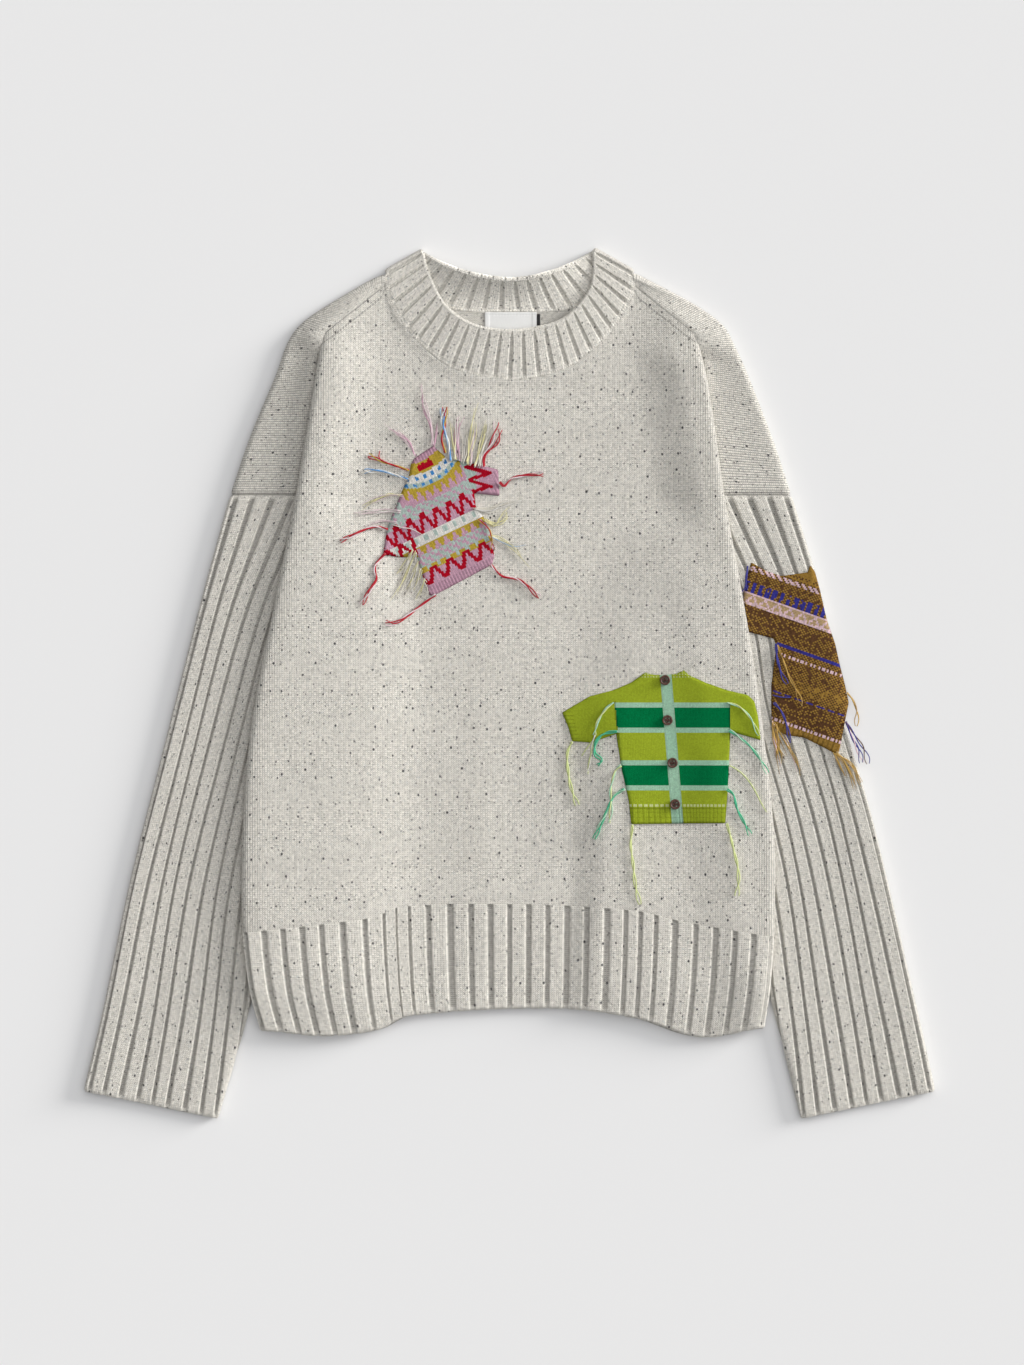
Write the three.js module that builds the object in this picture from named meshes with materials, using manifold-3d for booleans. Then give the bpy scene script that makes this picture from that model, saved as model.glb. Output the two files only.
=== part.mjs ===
// A darned wool sweater laid out flat on its back: an oversized crew neck with drop shoulders,
// wide ribbed hem, neckband and sleeves, and three little knitted sweaters sewn on as darns.
//
// Millimetres. The sweater lies on the plane Z = 0 with its front up. +Y runs from hem to neck,
// +X to the right as one looks down on it, and the origin is under the middle of its outline.

import * as THREE from 'three';
import { mergeVertices } from 'three/addons/utils/BufferGeometryUtils.js';
import Module from 'manifold-3d';

const wasm = await Module();
wasm.setup();

// ---------------------------------------------------------------- driving dimensions

const CLOTH = 3; // thickness of the knitted panels
const BAND_CLOTH = 3.5; // thickness of the neckband's rib
const SEAM_GAP = 0.3; // between pieces that are sewn together
const LAYER_GAP = 1.4; // air between the front and the back
const FRONT_TOP = 2 * CLOTH + LAYER_GAP; // outer face of two layers lying on each other
const OVER_SLEEVE = 8; // underside of the body's side folds, where they lie on the sleeves
const FOLD_HEIGHT = 10; // outer height of the body's rounded side fold
const FOLD_RADIUS = FOLD_HEIGHT / 2;
const FOLD_STEPS = 4; // facets round a fold
const LIP = 10; // width of the front that turns under at the side fold
const PLUMP_WIDTH = 40; // how far in from the fold the front stays plump
const PLUMP_NARROWS_Y = 60; // above this height both sides come to the same width
const DRAPE_FADE = 40; // the front's own drape ends over this much below the armhole
const EDGE_HEIGHT = 9; // outer height of the sleeves' and shoulders' folded edge
const DRAPE = 42; // width over which the cloth drops from the sleeve to the ground
const CAP_TUCK = 12; // how far the shoulder piece reaches under the front's side fold
const CAP_LEVEL_FROM = 257; // the y above which the shoulder piece's seam rises to the front,
const CAP_LEVEL_AT = 276; // and where it is level with it

const PATCH_CLOTH = 1.8; // thickness of a patch
const TAIL_CLOTH = 1; // thickness of the loose yarn ends lying round a patch
const BUTTON_RADIUS = 4.1;
const BUTTON_HEIGHT = 2;
const HOLE_RADIUS = 0.55; // the button's four thread holes
const HOLE_OFFSET = 1.8; // and their distance from its middle
const LABEL_SIZE = [41.4, 23]; // woven label inside the back neck
const LABEL_X = 1; // and its middle
const LABEL_CLOTH = 0.6;
const TAB_SIZE = [2.6, 9]; // small tab beside the label
const TAB_DROP = 1.5; // and how far below the label's top it starts

const NECK_HALF = 100; // half the neck's width at the shoulders
const NECK_SHOULDER_Y = 317; // where the forward shoulder seams start at the neck
const SHOULDER_END = [150, 277]; // where they meet the front's side folds
const ARMHOLE_Y = 150;
const BACK_EDGE_INSET = LIP + 2 * SEAM_GAP; // the back's side edge meets the front's lip here
const UNDERARM_EXTRA = 5; // and this much further in at the armhole

// Outlines are [y, distance from the centre line] for each side, from the hem up. The drape is how
// the front comes down from its side fold: [y, distance in from the fold] where it starts and ends,
// how late in between it falls, the part of its height that falls so, and the fold's own width.
const LEFT = {
  sign: -1,
  bodyEdge: [
    [-283, 197], [-240, 208], [-164, 214], [-42, 207], [66, 187], [147, 171], [232, 157], [276, 150],
  ],
  sleeveOuter: [[-326, 340], [-259, 324], [-159, 303], [-56, 277], [66, 246], [ARMHOLE_Y, 223]],
  sleeveInner: [[-348, 233], [-264, 209], [-160, 184], [0, 158], [90, 154], [126, 163], [ARMHOLE_Y, 161]],
  shoulderFold: [
    [100.8, 326], [116, 319], [151, 298], [168, 285], [178, 270], [187, 245], [207, 197], [223, ARMHOLE_Y],
  ],
  drape: {
    start: [[-283, 20], [0, 18], [60, 12], [140, 8]],
    end: [[-283, 146], [0, 138], [40, 126], [100, 92], [140, 76]],
    late: 2.5,
    part: 1,
    plump: 150,
  },
};
const RIGHT = {
  sign: 1,
  bodyEdge: [
    [-283, 202], [-240, 208], [-164, 212], [-107, 210], [-5, 198], [80, 184], [146, 172], [234, 159],
    [276, 150],
  ],
  sleeveOuter: [[-326, 340], [-259, 325], [-110, 290], [-15, 263], [58, 252], [ARMHOLE_Y, 225]],
  sleeveInner: [[-348, 233], [-264, 212], [-160, 186], [0, 160], [90, 155], [126, 164], [ARMHOLE_Y, 162]],
  shoulderFold: [
    [100.8, 327], [124, 315], [148, 302], [170, 286], [180, 269], [192, 242], [212, 190], [225, ARMHOLE_Y],
  ],
  drape: {
    start: [[-283, 136], [-160, 134], [-60, 118], [30, 76], [140, 30]],
    end: [[-283, 168], [-160, 166], [-60, 158], [30, 148], [140, 90]],
    late: 1,
    part: 0.75,
    plump: 40,
  },
};

// The shoulder piece's inner ends pair off with the shoulder fold's points. On top they follow
// the forward seam as [distance, y], then the front's side fold as [y, distance outside it].
// Below they run into the back.
const CAP_SEAM = [[100.8, 317.4], [112, 308.8], [132, 292.8]];
const CAP_BESIDE_FOLD = [[278.4, 1], [268, 1.6], [248, -3], [197, -CAP_TUCK], [ARMHOLE_Y, -CAP_TUCK]];
const CAP_UNDER = [
  [100.8, 312], [110, 304], [135, 284], [146, 270], [146, 262], [146, 240], [146, 197], [146, ARMHOLE_Y],
];

// Seam and edge heights are [distance from the centre line or x, y].
const FRONT_NECK = [[0, 242], [42, 250], [66, 266], [84, 285], [97, 307], [100, NECK_SHOULDER_Y]];
const BACK_NECK = [[0, 297], [42, 298], [70, 308], [100, 325]];
const SHOULDER_LINE = [[100, 320], [116, 313], [150, 292], [160, 285]];
const HEM_SEAM = [
  [-212, -199], [-146, -192], [-110, -187], [-88, -179], [8, -177], [104, -182], [139, -190], [212, -202],
];
const HEM_EDGE = [
  [-199, -278], [-158, -282], [-111, -277], [-84, -266], [38, -260], [104, -268], [158, -283], [204, -276],
];

// The neckband's two edges: sewn to the body, and free round the neck, front and back.
const BAND_FRONT_SEAM = [
  [-98, 326], [-96, 309], [-83, 286], [-65, 267], [-41, 251], [0, 243],
  [41, 251], [65, 267], [83, 286], [96, 309], [98, 326],
];
const BAND_FRONT_EDGE = [
  [-68, 343], [-63, 325], [-50, 301], [-27, 286], [3, 282], [36, 288], [54, 301], [65, 319], [66, 344],
];
const BAND_BACK_SEAM = [
  [-98, 326], [-70, 310], [-42, 299.5], [0, 298.3], [42, 299.5], [70, 310], [98, 326],
];
const BAND_BACK_EDGE = [[-68, 343], [-36, 330], [1, 324], [34, 330], [66, 344]];
const BAND_STAND = 13; // how high the back of the band stands at its free edge
const BAND_CURL = 3; // and the front

// Soft folds in the front: x at the bottom, lean in x per y, range of y, height and width.
const FRONT_FOLDS = [
  { x: -22, lean: 0, from: -290, to: 70, height: 1, width: 18 },
  { x: 33, lean: 0, from: -290, to: 0, height: 0.6, width: 14 },
  { x: 188, lean: -0.1, from: -290, to: 190, height: 2, width: 20 },
];

// The little sweaters, and how far their loose yarn ends lie round them.
const FAIR_ISLE_OUTLINE = [
  [-76, 179], [-61, 189], [-52, 181], [-40, 177], [-9, 170], [-8, 149], [-28, 151], [-27, 141], [-20, 131],
  [-12, 103], [-14, 94], [-62, 69], [-69, 84], [-76, 101], [-87, 104], [-88, 100], [-101, 102], [-98, 122],
  [-87, 150],
];
const FAIR_ISLE_REACH = [
  [-134, 114], [-126, 134], [-115, 169], [-112, 181], [-99, 208], [-71, 238], [-50, 220], [-10, 210],
  [27, 166], [26, 66], [14, 84], [-75, 63], [-92, 47], [-118, 62],
];
const CARDIGAN_OUTLINE = [
  [108, 8], [125, 6], [139, 10], [143, 6], [173, -6], [190, -10], [195, -15], [198, -27], [200, -46],
  [176, -39], [174, -85], [172, -112], [97, -113], [95, -94], [89, -67], [85, -41], [50, -47], [42, -24],
  [64, -11], [83, -6],
];
const CARDIGAN_REACH = [
  [62, -12], [44, -50], [53, -100], [69, -127], [97, -150], [104, -176], [182, -170], [193, -122],
  [202, -104], [201, -52], [186, -25],
];
const STRIPED_OUTLINE = [
  [193, 96], [217, 85], [238, 88], [241, 94], [248, 73], [253, 51], [264, 13], [272, -16], [268, -30],
  [262, -58], [235, -44], [221, -42], [213, -38], [209, -30], [209, -3], [213, 29], [212, 35], [193, 40],
  [189, 79],
];
const STRIPED_REACH = [
  [211, -26], [206, -44], [213, -77], [236, -77], [262, -64], [272, -90], [290, -90], [290, -30], [260, -12],
];
const BUTTON_PLACES = [[124, 2], [126, -30], [130, -64], [132, -97]];

// ---------------------------------------------------------------- small helpers

const lerp = THREE.MathUtils.lerp;
const smoothstep = THREE.MathUtils.smoothstep;

// A smooth function through [position, value] pairs given in rising order of position.
function smoothThrough(pairs) {
  return (position) => {
    const last = pairs.length - 1;
    let k = 0;
    while (k < last - 1 && position > pairs[k + 1][0]) k += 1;
    const [start, from] = pairs[k];
    const [end, to] = pairs[k + 1];
    const before = pairs[Math.max(k - 1, 0)];
    const after = pairs[Math.min(k + 2, last)];
    const span = end - start;
    const t = THREE.MathUtils.clamp((position - start) / span, 0, 1);
    const slopeIn = span * (to - before[1]) / (end - before[0]);
    const slopeOut = span * (after[1] - from) / (after[0] - start);
    const rise = t * t * (3 - 2 * t);
    return lerp(from, to, rise) + slopeIn * t * (1 - t) ** 2 - slopeOut * t * t * (1 - t);
  };
}

// Points evenly spaced along a smooth plan curve.
function alongCurve(points, count) {
  const curve = new THREE.SplineCurve(points.map(([x, y]) => new THREE.Vector2(x, y)));
  return curve.getSpacedPoints(count);
}

// Points of a smooth plan curve that keep pace with its control points.
function pacedCurve(points, count) {
  const curve = new THREE.SplineCurve(points.map(([x, y]) => new THREE.Vector2(x, y)));
  return curve.getPoints(count);
}

// Which way a row's cut edge faces: along Y, or square to the plane that the row bends in.
const levelCut = () => new THREE.Vector3(0, 1, 0);

function planeCut(row) {
  const areas = row.map((point, j) => point.clone().cross(row[(j + 1) % row.length]));
  return areas.reduce((sum, area) => sum.add(area), new THREE.Vector3()).normalize();
}

// A grid of points moved along its own normals. Columns of a ringed grid close on themselves.
// The first and last rows don't move the way their cut faces, so a sewn edge stays on its seam.
function offsetGrid(grid, distance, { ringed = false, cut = levelCut } = {}) {
  const columns = grid[0].length;
  const last = grid.length - 1;
  return grid.map((row, i) => row.map((point, j) => {
    const ahead = ringed ? (j + 1) % columns : Math.min(j + 1, columns - 1);
    const behind = ringed ? (j + columns - 1) % columns : Math.max(j - 1, 0);
    const across = row[ahead].clone().sub(row[behind]);
    const along = grid[Math.min(i + 1, last)][j].clone().sub(grid[Math.max(i - 1, 0)][j]);
    const normal = across.cross(along);
    if (cut && (i === 0 || i === last)) normal.projectOnPlane(cut(row));
    return normal.setLength(distance).add(point);
  }));
}

// A closed wall between two grids of the same size.
function wallBetween(outer, inner, ringed = false) {
  const rows = outer.length;
  const columns = outer[0].length;
  const positions = [...outer.flat(), ...inner.flat()].flatMap((point) => point.toArray());
  const index = [];
  const at = (layer, i, j) => layer * rows * columns + i * columns + (j % columns);
  const quad = (a, b, c, d) => index.push(a, b, c, a, c, d);
  const steps = ringed ? columns : columns - 1;
  for (let i = 0; i < rows - 1; i += 1) {
    for (let j = 0; j < steps; j += 1) {
      quad(at(0, i, j), at(0, i, j + 1), at(0, i + 1, j + 1), at(0, i + 1, j));
      quad(at(1, i, j), at(1, i + 1, j), at(1, i + 1, j + 1), at(1, i, j + 1));
    }
  }
  for (let j = 0; j < steps; j += 1) {
    quad(at(0, 0, j), at(1, 0, j), at(1, 0, j + 1), at(0, 0, j + 1));
    quad(at(0, rows - 1, j + 1), at(1, rows - 1, j + 1), at(1, rows - 1, j), at(0, rows - 1, j));
  }
  if (!ringed) {
    const end = columns - 1;
    for (let i = 0; i < rows - 1; i += 1) {
      quad(at(0, i + 1, 0), at(1, i + 1, 0), at(1, i, 0), at(0, i, 0));
      quad(at(0, i, end), at(1, i, end), at(1, i + 1, end), at(0, i + 1, end));
    }
  }
  const geometry = new THREE.BufferGeometry();
  geometry.setAttribute('position', new THREE.Float32BufferAttribute(positions, 3));
  geometry.setIndex(index);
  return geometry;
}

function clothWall(outer, thickness, options = {}) {
  return wallBetween(outer, offsetGrid(outer, -thickness, options), options.ringed);
}

function toSolid(geometry) {
  const bare = geometry.clone();
  bare.deleteAttribute('normal');
  bare.deleteAttribute('uv');
  const merged = mergeVertices(bare, 1e-4);
  return new wasm.Manifold(new wasm.Mesh({
    numProp: 3,
    vertProperties: new Float32Array(merged.attributes.position.array),
    triVerts: new Uint32Array(merged.index.array),
  }));
}

function fromSolid(solid) {
  const mesh = solid.getMesh();
  const geometry = new THREE.BufferGeometry();
  geometry.setAttribute('position', new THREE.Float32BufferAttribute(mesh.vertProperties, 3));
  geometry.setIndex(new THREE.Uint32BufferAttribute(mesh.triVerts, 1));
  return geometry;
}

// ---------------------------------------------------------------- the laid-out form

for (const side of [LEFT, RIGHT]) {
  side.edgeAt = smoothThrough(side.bodyEdge);
  side.outerAt = smoothThrough(side.sleeveOuter);
  side.innerAt = smoothThrough(side.sleeveInner);
  side.drape.startAt = smoothThrough(side.drape.start);
  side.drape.endAt = smoothThrough(side.drape.end);
}

const sideOf = (x) => (x < 0 ? LEFT : RIGHT);

// How far the sleeve, or above it the shoulder cap, reaches in under the body's side fold.
function tuckAt(side, y) {
  return y > ARMHOLE_Y ? CAP_TUCK : Math.max(side.edgeAt(y) - side.innerAt(y), 0);
}

// Underside of the front's turned lip: on the back at the shoulder, then over cap and sleeve,
// and down again beyond the sleeve at the hem.
const lipHeight = smoothThrough([
  [-284, 2], [-245, OVER_SLEEVE], [-200, OVER_SLEEVE], [240, OVER_SLEEVE], [256, OVER_SLEEVE - 0.4],
  [277, CLOTH + SEAM_GAP],
]);

// Underside of the back's side edge: on the ground above the armhole, over the sleeve below it.
const backEdgeHeight = (y) => lipHeight(y) * (1 - smoothstep(y, ARMHOLE_Y - 20, ARMHOLE_Y + 8));

// The part of an edge's height that is left at some distance in from the side fold.
function liftShare(side, y, inset) {
  const tuck = tuckAt(side, y);
  return 1 - smoothstep(inset, tuck + 4, tuck + 4 + DRAPE);
}

// The front comes down further in than the back does: a part of it at the side's own drape.
// Towards the armhole the two come together.
function frontLiftShare(side, y, inset) {
  const beside = liftShare(side, y, inset);
  const { startAt, endAt, late, part } = side.drape;
  const share = Math.max((inset - startAt(y)) / (endAt(y) - startAt(y)), 0);
  const draped = lerp(beside, 1 - smoothstep(share ** late, 0, 1), part);
  return lerp(Math.max(beside, draped), beside, smoothstep(y, ARMHOLE_Y - DRAPE_FADE, ARMHOLE_Y));
}

function frontRelief(x, y) {
  return FRONT_FOLDS.reduce((sum, fold) => {
    const middle = fold.x + fold.lean * (y - fold.from);
    const length = (y - fold.from) / (fold.to - fold.from);
    const fade = smoothstep(length, -0.05, 0.2) * (1 - smoothstep(length, 0.6, 1));
    return sum + fold.height * fade * Math.exp(-(((x - middle) / fold.width) ** 2));
  }, 0);
}

// Outer face of the front inside its side folds.
function frontHeight(x, y) {
  const side = sideOf(x);
  const inset = side.edgeAt(y) - Math.abs(x);
  const width = lerp(side.drape.plump, PLUMP_WIDTH, smoothstep(y, PLUMP_NARROWS_Y, ARMHOLE_Y));
  const plump = (FOLD_HEIGHT - FRONT_TOP) * (1 - smoothstep(inset, FOLD_RADIUS, width));
  return FRONT_TOP + lipHeight(y) * frontLiftShare(side, y, inset) + plump + frontRelief(x, y);
}

// Across the front: lip, rounded fold, top, rounded fold, lip. u runs from -1 to 1.
const TOP_COLUMNS = Array.from({ length: 23 }, (unused, k) => (k - 11) / 12);

function frontRow(edgeY) {
  const row = [];
  const turn = (side, steps) => {
    const y = edgeY(side.sign);
    const edge = side.edgeAt(y);
    const low = lipHeight(y);
    const points = [new THREE.Vector3(side.sign * (edge - LIP), y, low)];
    for (let k = 0; k <= steps; k += 1) {
      const angle = -Math.PI / 2 + Math.PI * k / steps;
      const x = edge - FOLD_RADIUS + FOLD_RADIUS * Math.cos(angle);
      points.push(new THREE.Vector3(side.sign * x, y, low + FOLD_RADIUS + FOLD_RADIUS * Math.sin(angle)));
    }
    return points;
  };
  row.push(...turn(LEFT, FOLD_STEPS));
  for (const u of TOP_COLUMNS) {
    const y = edgeY(u);
    const x = u * sideOf(u).edgeAt(y);
    row.push(new THREE.Vector3(x, y, frontHeight(x, y)));
  }
  row.push(...turn(RIGHT, FOLD_STEPS).reverse());
  return row;
}

// The front or its hem rib, between a lower and an upper edge given as y over u.
function frontGrid(lower, upper, rows, crowding = 1) {
  return Array.from({ length: rows + 1 }, (unused, i) => {
    const v = 1 - (1 - i / rows) ** crowding;
    return frontRow((u) => lerp(lower(u), upper(u), v));
  });
}

// Across the back, seen from below: the same reach, without the folds.
const BACK_COLUMNS = Array.from({ length: 25 }, (unused, k) => 1 - k / 12);

function backGrid(lower, upper, rows, crowding = 1) {
  return Array.from({ length: rows + 1 }, (unused, i) => {
    const v = 1 - (1 - i / rows) ** crowding;
    return BACK_COLUMNS.map((u) => {
      const y = lerp(lower(u), upper(u), v);
      const side = sideOf(u);
      const edge = side.edgeAt(Math.min(y, ARMHOLE_Y));
      const reach = edge - BACK_EDGE_INSET - UNDERARM_EXTRA * smoothstep(y, 60, ARMHOLE_Y);
      const x = u * reach;
      return new THREE.Vector3(x, y, backEdgeHeight(y) * liftShare(side, y, edge - Math.abs(x)));
    });
  });
}

const hemSeam = smoothThrough(HEM_SEAM);
const hemEdge = smoothThrough(HEM_EDGE);
const frontNeck = smoothThrough(FRONT_NECK);
const backNeck = smoothThrough(BACK_NECK);
const shoulderLine = smoothThrough(SHOULDER_LINE);

const seamOver = (u) => hemSeam(u * HEM_SEAM.at(-1)[0]);
const hemOver = (u) => hemEdge(u * HEM_EDGE.at(-1)[0]);

function frontTopOver(u) {
  const reach = Math.abs(u) * SHOULDER_END[0];
  if (reach < NECK_HALF) return frontNeck(reach) - SEAM_GAP;
  const t = (reach - NECK_HALF) / (SHOULDER_END[0] - NECK_HALF);
  return lerp(NECK_SHOULDER_Y, SHOULDER_END[1], t) - SEAM_GAP;
}

function backTopOver(u) {
  const reach = Math.abs(u) * SHOULDER_LINE.at(-1)[0];
  return reach < NECK_HALF ? backNeck(reach) - SEAM_GAP : shoulderLine(reach);
}

// ---------------------------------------------------------------- body panels

const FRONT_GRID = frontGrid((u) => seamOver(u) + SEAM_GAP / 2, frontTopOver, 16, 1.5);

function frontPanel() {
  return clothWall(FRONT_GRID, CLOTH);
}

function frontHemRib() {
  return clothWall(frontGrid(hemOver, (u) => seamOver(u) - SEAM_GAP / 2, 3), CLOTH);
}

function backHemRib() {
  return clothWall(backGrid(hemOver, (u) => seamOver(u) - SEAM_GAP / 2, 3), CLOTH);
}

// The back's shoulder piece comes round the shoulder fold to the forward seam and the armhole.
function shoulderPiece(side) {
  const count = 14;
  const besideFold = CAP_BESIDE_FOLD.map(([y, outside]) => [side.edgeAt(y) + outside, y]);
  const fold = pacedCurve(side.shoulderFold, count);
  const top = pacedCurve([...CAP_SEAM, ...besideFold], count);
  const under = pacedCurve(CAP_UNDER, count);
  const radius = EDGE_HEIGHT / 2;
  const grid = fold.map((edge, i) => {
    const inward = top[i].clone().sub(edge);
    const width = inward.length();
    inward.normalize();
    const onTop = (distance, z) => {
      const point = edge.clone().addScaledVector(inward, distance);
      return new THREE.Vector3(side.sign * point.x, point.y, z);
    };
    const front = frontHeight(side.sign * top[i].x, top[i].y);
    const seamHeight = lerp(FRONT_TOP, front, smoothstep(top[i].y, CAP_LEVEL_FROM, CAP_LEVEL_AT));
    const row = [new THREE.Vector3(side.sign * under[i].x, under[i].y, 0)];
    for (let k = 0; k <= FOLD_STEPS; k += 1) {
      const angle = -Math.PI / 2 + Math.PI * k / FOLD_STEPS;
      row.push(onTop(radius - radius * Math.cos(angle), radius + radius * Math.sin(angle)));
    }
    row.push(onTop(lerp(radius, width, 0.5), lerp(EDGE_HEIGHT, seamHeight, 0.7)));
    row.push(onTop(width, seamHeight));
    return row;
  });
  return side === LEFT ? grid.map((row) => row.reverse()) : grid;
}

const shoulderWall = (side) => clothWall(shoulderPiece(side), CLOTH, { cut: planeCut });

function backPanel() {
  const sheet = clothWall(backGrid((u) => seamOver(u) + SEAM_GAP / 2, backTopOver, 14, 1.5), CLOTH);
  const pieces = [LEFT, RIGHT].map((side) => toSolid(upright(shoulderWall(side))));
  return fromSolid(toSolid(upright(sheet)).add(pieces[0]).add(pieces[1]));
}

// Faces turned out, whichever way round the grid was given.
function upright(geometry) {
  const position = geometry.attributes.position;
  const index = geometry.index.array;
  const corners = [new THREE.Vector3(), new THREE.Vector3(), new THREE.Vector3()];
  let volume = 0;
  for (let k = 0; k < index.length; k += 3) {
    corners.forEach((corner, n) => corner.fromBufferAttribute(position, index[k + n]));
    volume += corners[0].dot(corners[1].cross(corners[2]));
  }
  if (volume > 0) return geometry;
  const flipped = Array.from(index);
  for (let k = 0; k < flipped.length; k += 3) {
    [flipped[k], flipped[k + 1]] = [flipped[k + 1], flipped[k]];
  }
  return geometry.clone().setIndex(flipped);
}

// ---------------------------------------------------------------- sleeves

// Round a flattened sleeve as distances from its inner edge and heights: out along the top, down
// round the outer edge, back on the ground and up round the inner edge.
function sleeveProfile(width) {
  const outer = EDGE_HEIGHT / 2;
  const inner = FRONT_TOP / 2;
  const profile = [
    [inner, FRONT_TOP],
    [Math.max(width - outer - PLUMP_WIDTH, lerp(inner, width, 0.3)), FRONT_TOP],
    [width - outer - PLUMP_WIDTH / 3, lerp(FRONT_TOP, EDGE_HEIGHT, 0.6)],
  ];
  for (let k = 0; k <= FOLD_STEPS; k += 1) {
    const angle = Math.PI / 2 - Math.PI * k / FOLD_STEPS;
    profile.push([width - outer + outer * Math.cos(angle), outer + outer * Math.sin(angle)]);
  }
  for (let k = 1; k <= 3; k += 1) profile.push([lerp(width - outer, inner, k / 3), 0]);
  for (let k = 1; k < FOLD_STEPS; k += 1) {
    const angle = -Math.PI / 2 - Math.PI * k / FOLD_STEPS;
    profile.push([inner + inner * Math.cos(angle), inner + inner * Math.sin(angle)]);
  }
  return profile;
}

// The profile's columns on top, from the inner edge to the middle of the outer fold.
const SLEEVE_TOP_COLUMNS = 3 + FOLD_STEPS / 2;

function sleeveGrid(side) {
  const rows = 16;
  const top = ARMHOLE_Y - SEAM_GAP;
  const grid = Array.from({ length: rows + 1 }, (unused, i) => {
    const outerY = lerp(side.sleeveOuter[0][0], top, i / rows);
    const innerY = lerp(side.sleeveInner[0][0], top, i / rows);
    const inner = new THREE.Vector2(side.sign * side.innerAt(innerY), innerY);
    const outer = new THREE.Vector2(side.sign * side.outerAt(outerY), outerY);
    const width = outer.distanceTo(inner);
    return sleeveProfile(width).map(([distance, z]) => {
      const point = inner.clone().lerp(outer, distance / width);
      return new THREE.Vector3(point.x, point.y, z);
    });
  });
  return side === LEFT ? grid.map((row) => row.reverse()) : grid;
}

const SLEEVE_GRIDS = new Map([LEFT, RIGHT].map((side) => [side, sleeveGrid(side)]));

function sleeve(side) {
  return clothWall(SLEEVE_GRIDS.get(side), CLOTH, { ringed: true, cut: planeCut });
}

// ---------------------------------------------------------------- neckband

// Round the band: front from left to right on top, the right fold, back from right to left on
// the ground, and the left fold. Each column runs from the sewn edge to the free edge.
function neckband() {
  const count = 16;
  const frontSeam = alongCurve(BAND_FRONT_SEAM, count);
  const frontEdge = alongCurve(BAND_FRONT_EDGE, count);
  const backSeam = alongCurve(BAND_BACK_SEAM, count);
  const backEdge = alongCurve(BAND_BACK_EDGE, count);
  const levels = [0, 0.35, 0.7, 1];
  const frontTop = 2 * BAND_CLOTH + LAYER_GAP;
  const columns = [];
  for (let k = 0; k <= count; k += 1) {
    const bow = 1 - (2 * k / count - 1) ** 2;
    columns.push(levels.map((v) => {
      const plan = frontSeam[k].clone().lerp(frontEdge[k], v);
      return new THREE.Vector3(plan.x, plan.y, frontTop + BAND_CURL * v * bow);
    }));
  }
  const fold = (seam, edge, from, to) => {
    const radius = frontTop / 2;
    const outward = edge.clone().sub(seam).normalize().rotateAround(new THREE.Vector2(), -from);
    for (let k = 1; k < FOLD_STEPS; k += 1) {
      const angle = lerp(from, to, k / FOLD_STEPS);
      columns.push(levels.map((v) => {
        const plan = seam.clone().lerp(edge, v).addScaledVector(outward, radius * Math.cos(angle));
        return new THREE.Vector3(plan.x, plan.y, radius + radius * Math.sin(angle));
      }));
    }
  };
  const quarter = Math.PI / 2;
  fold(frontSeam[count], frontEdge[count], quarter, -quarter);
  for (let k = count; k >= 0; k -= 1) {
    const bow = 1 - (2 * k / count - 1) ** 4;
    columns.push(levels.map((v) => {
      const plan = backSeam[k].clone().lerp(backEdge[k], v);
      return new THREE.Vector3(plan.x, plan.y, BAND_STAND * v * v * bow);
    }));
  }
  fold(frontSeam[0], frontEdge[0], -quarter, quarter);
  const grid = levels.map((unused, i) => columns.map((column) => column[i]));
  return clothWall(grid, BAND_CLOTH, { ringed: true, cut: null });
}

// ---------------------------------------------------------------- label, patches, yarn ends

function plate([width, depth], thickness, x, top, z) {
  const geometry = new THREE.BoxGeometry(width, depth, thickness);
  return geometry.translate(x, top - depth / 2, z + thickness / 2);
}

// A skin of some thickness over part of a panel's outer face, cut to a plan outline.
function cutSkin(grid, outline, thickness) {
  const skin = wallBetween(offsetGrid(grid, SEAM_GAP + thickness), offsetGrid(grid, SEAM_GAP));
  return toSolid(upright(skin)).intersect(prism(outline));
}

function prism(outline) {
  const shape = new THREE.Shape(outline.map(([x, y]) => new THREE.Vector2(x, y)));
  return toSolid(new THREE.ExtrudeGeometry(shape, { depth: 60, bevelEnabled: false }));
}

// An outline grown outwards by a distance.
function grown(outline, distance) {
  const points = outline.map(([x, y]) => new THREE.Vector2(x, y));
  if (THREE.ShapeUtils.isClockWise(points)) points.reverse();
  return points.map((point, k) => {
    const before = points.at(k - 1);
    const after = points[(k + 1) % points.length];
    const inward = point.clone().sub(before).normalize();
    const onward = after.clone().sub(point).normalize();
    const bisector = new THREE.Vector2(inward.y + onward.y, -inward.x - onward.x).normalize();
    const spread = Math.max(bisector.dot(new THREE.Vector2(inward.y, -inward.x)), 0.4);
    return point.clone().addScaledVector(bisector, distance / spread).toArray();
  });
}

// The columns of a grid from one to another, over all its rows.
const columnsOf = (grid, from, to) => grid.map((row) => row.slice(from, to + 1));

const FRONT_FACE = columnsOf(FRONT_GRID, 2, FRONT_GRID[0].length - 3);
const RIGHT_SLEEVE_FACE = columnsOf(SLEEVE_GRIDS.get(RIGHT), 0, SLEEVE_TOP_COLUMNS);

const patch = (grid, outline) => fromSolid(cutSkin(grid, outline, PATCH_CLOTH));

function yarnEnds(grid, reach, outline) {
  return fromSolid(cutSkin(grid, reach, TAIL_CLOTH).subtract(prism(grown(outline, SEAM_GAP))));
}

function circle([x, y], radius, count) {
  return Array.from({ length: count }, (unused, k) => {
    const angle = 2 * Math.PI * k / count;
    return new THREE.Vector2(x + radius * Math.cos(angle), y + radius * Math.sin(angle));
  });
}

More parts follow.
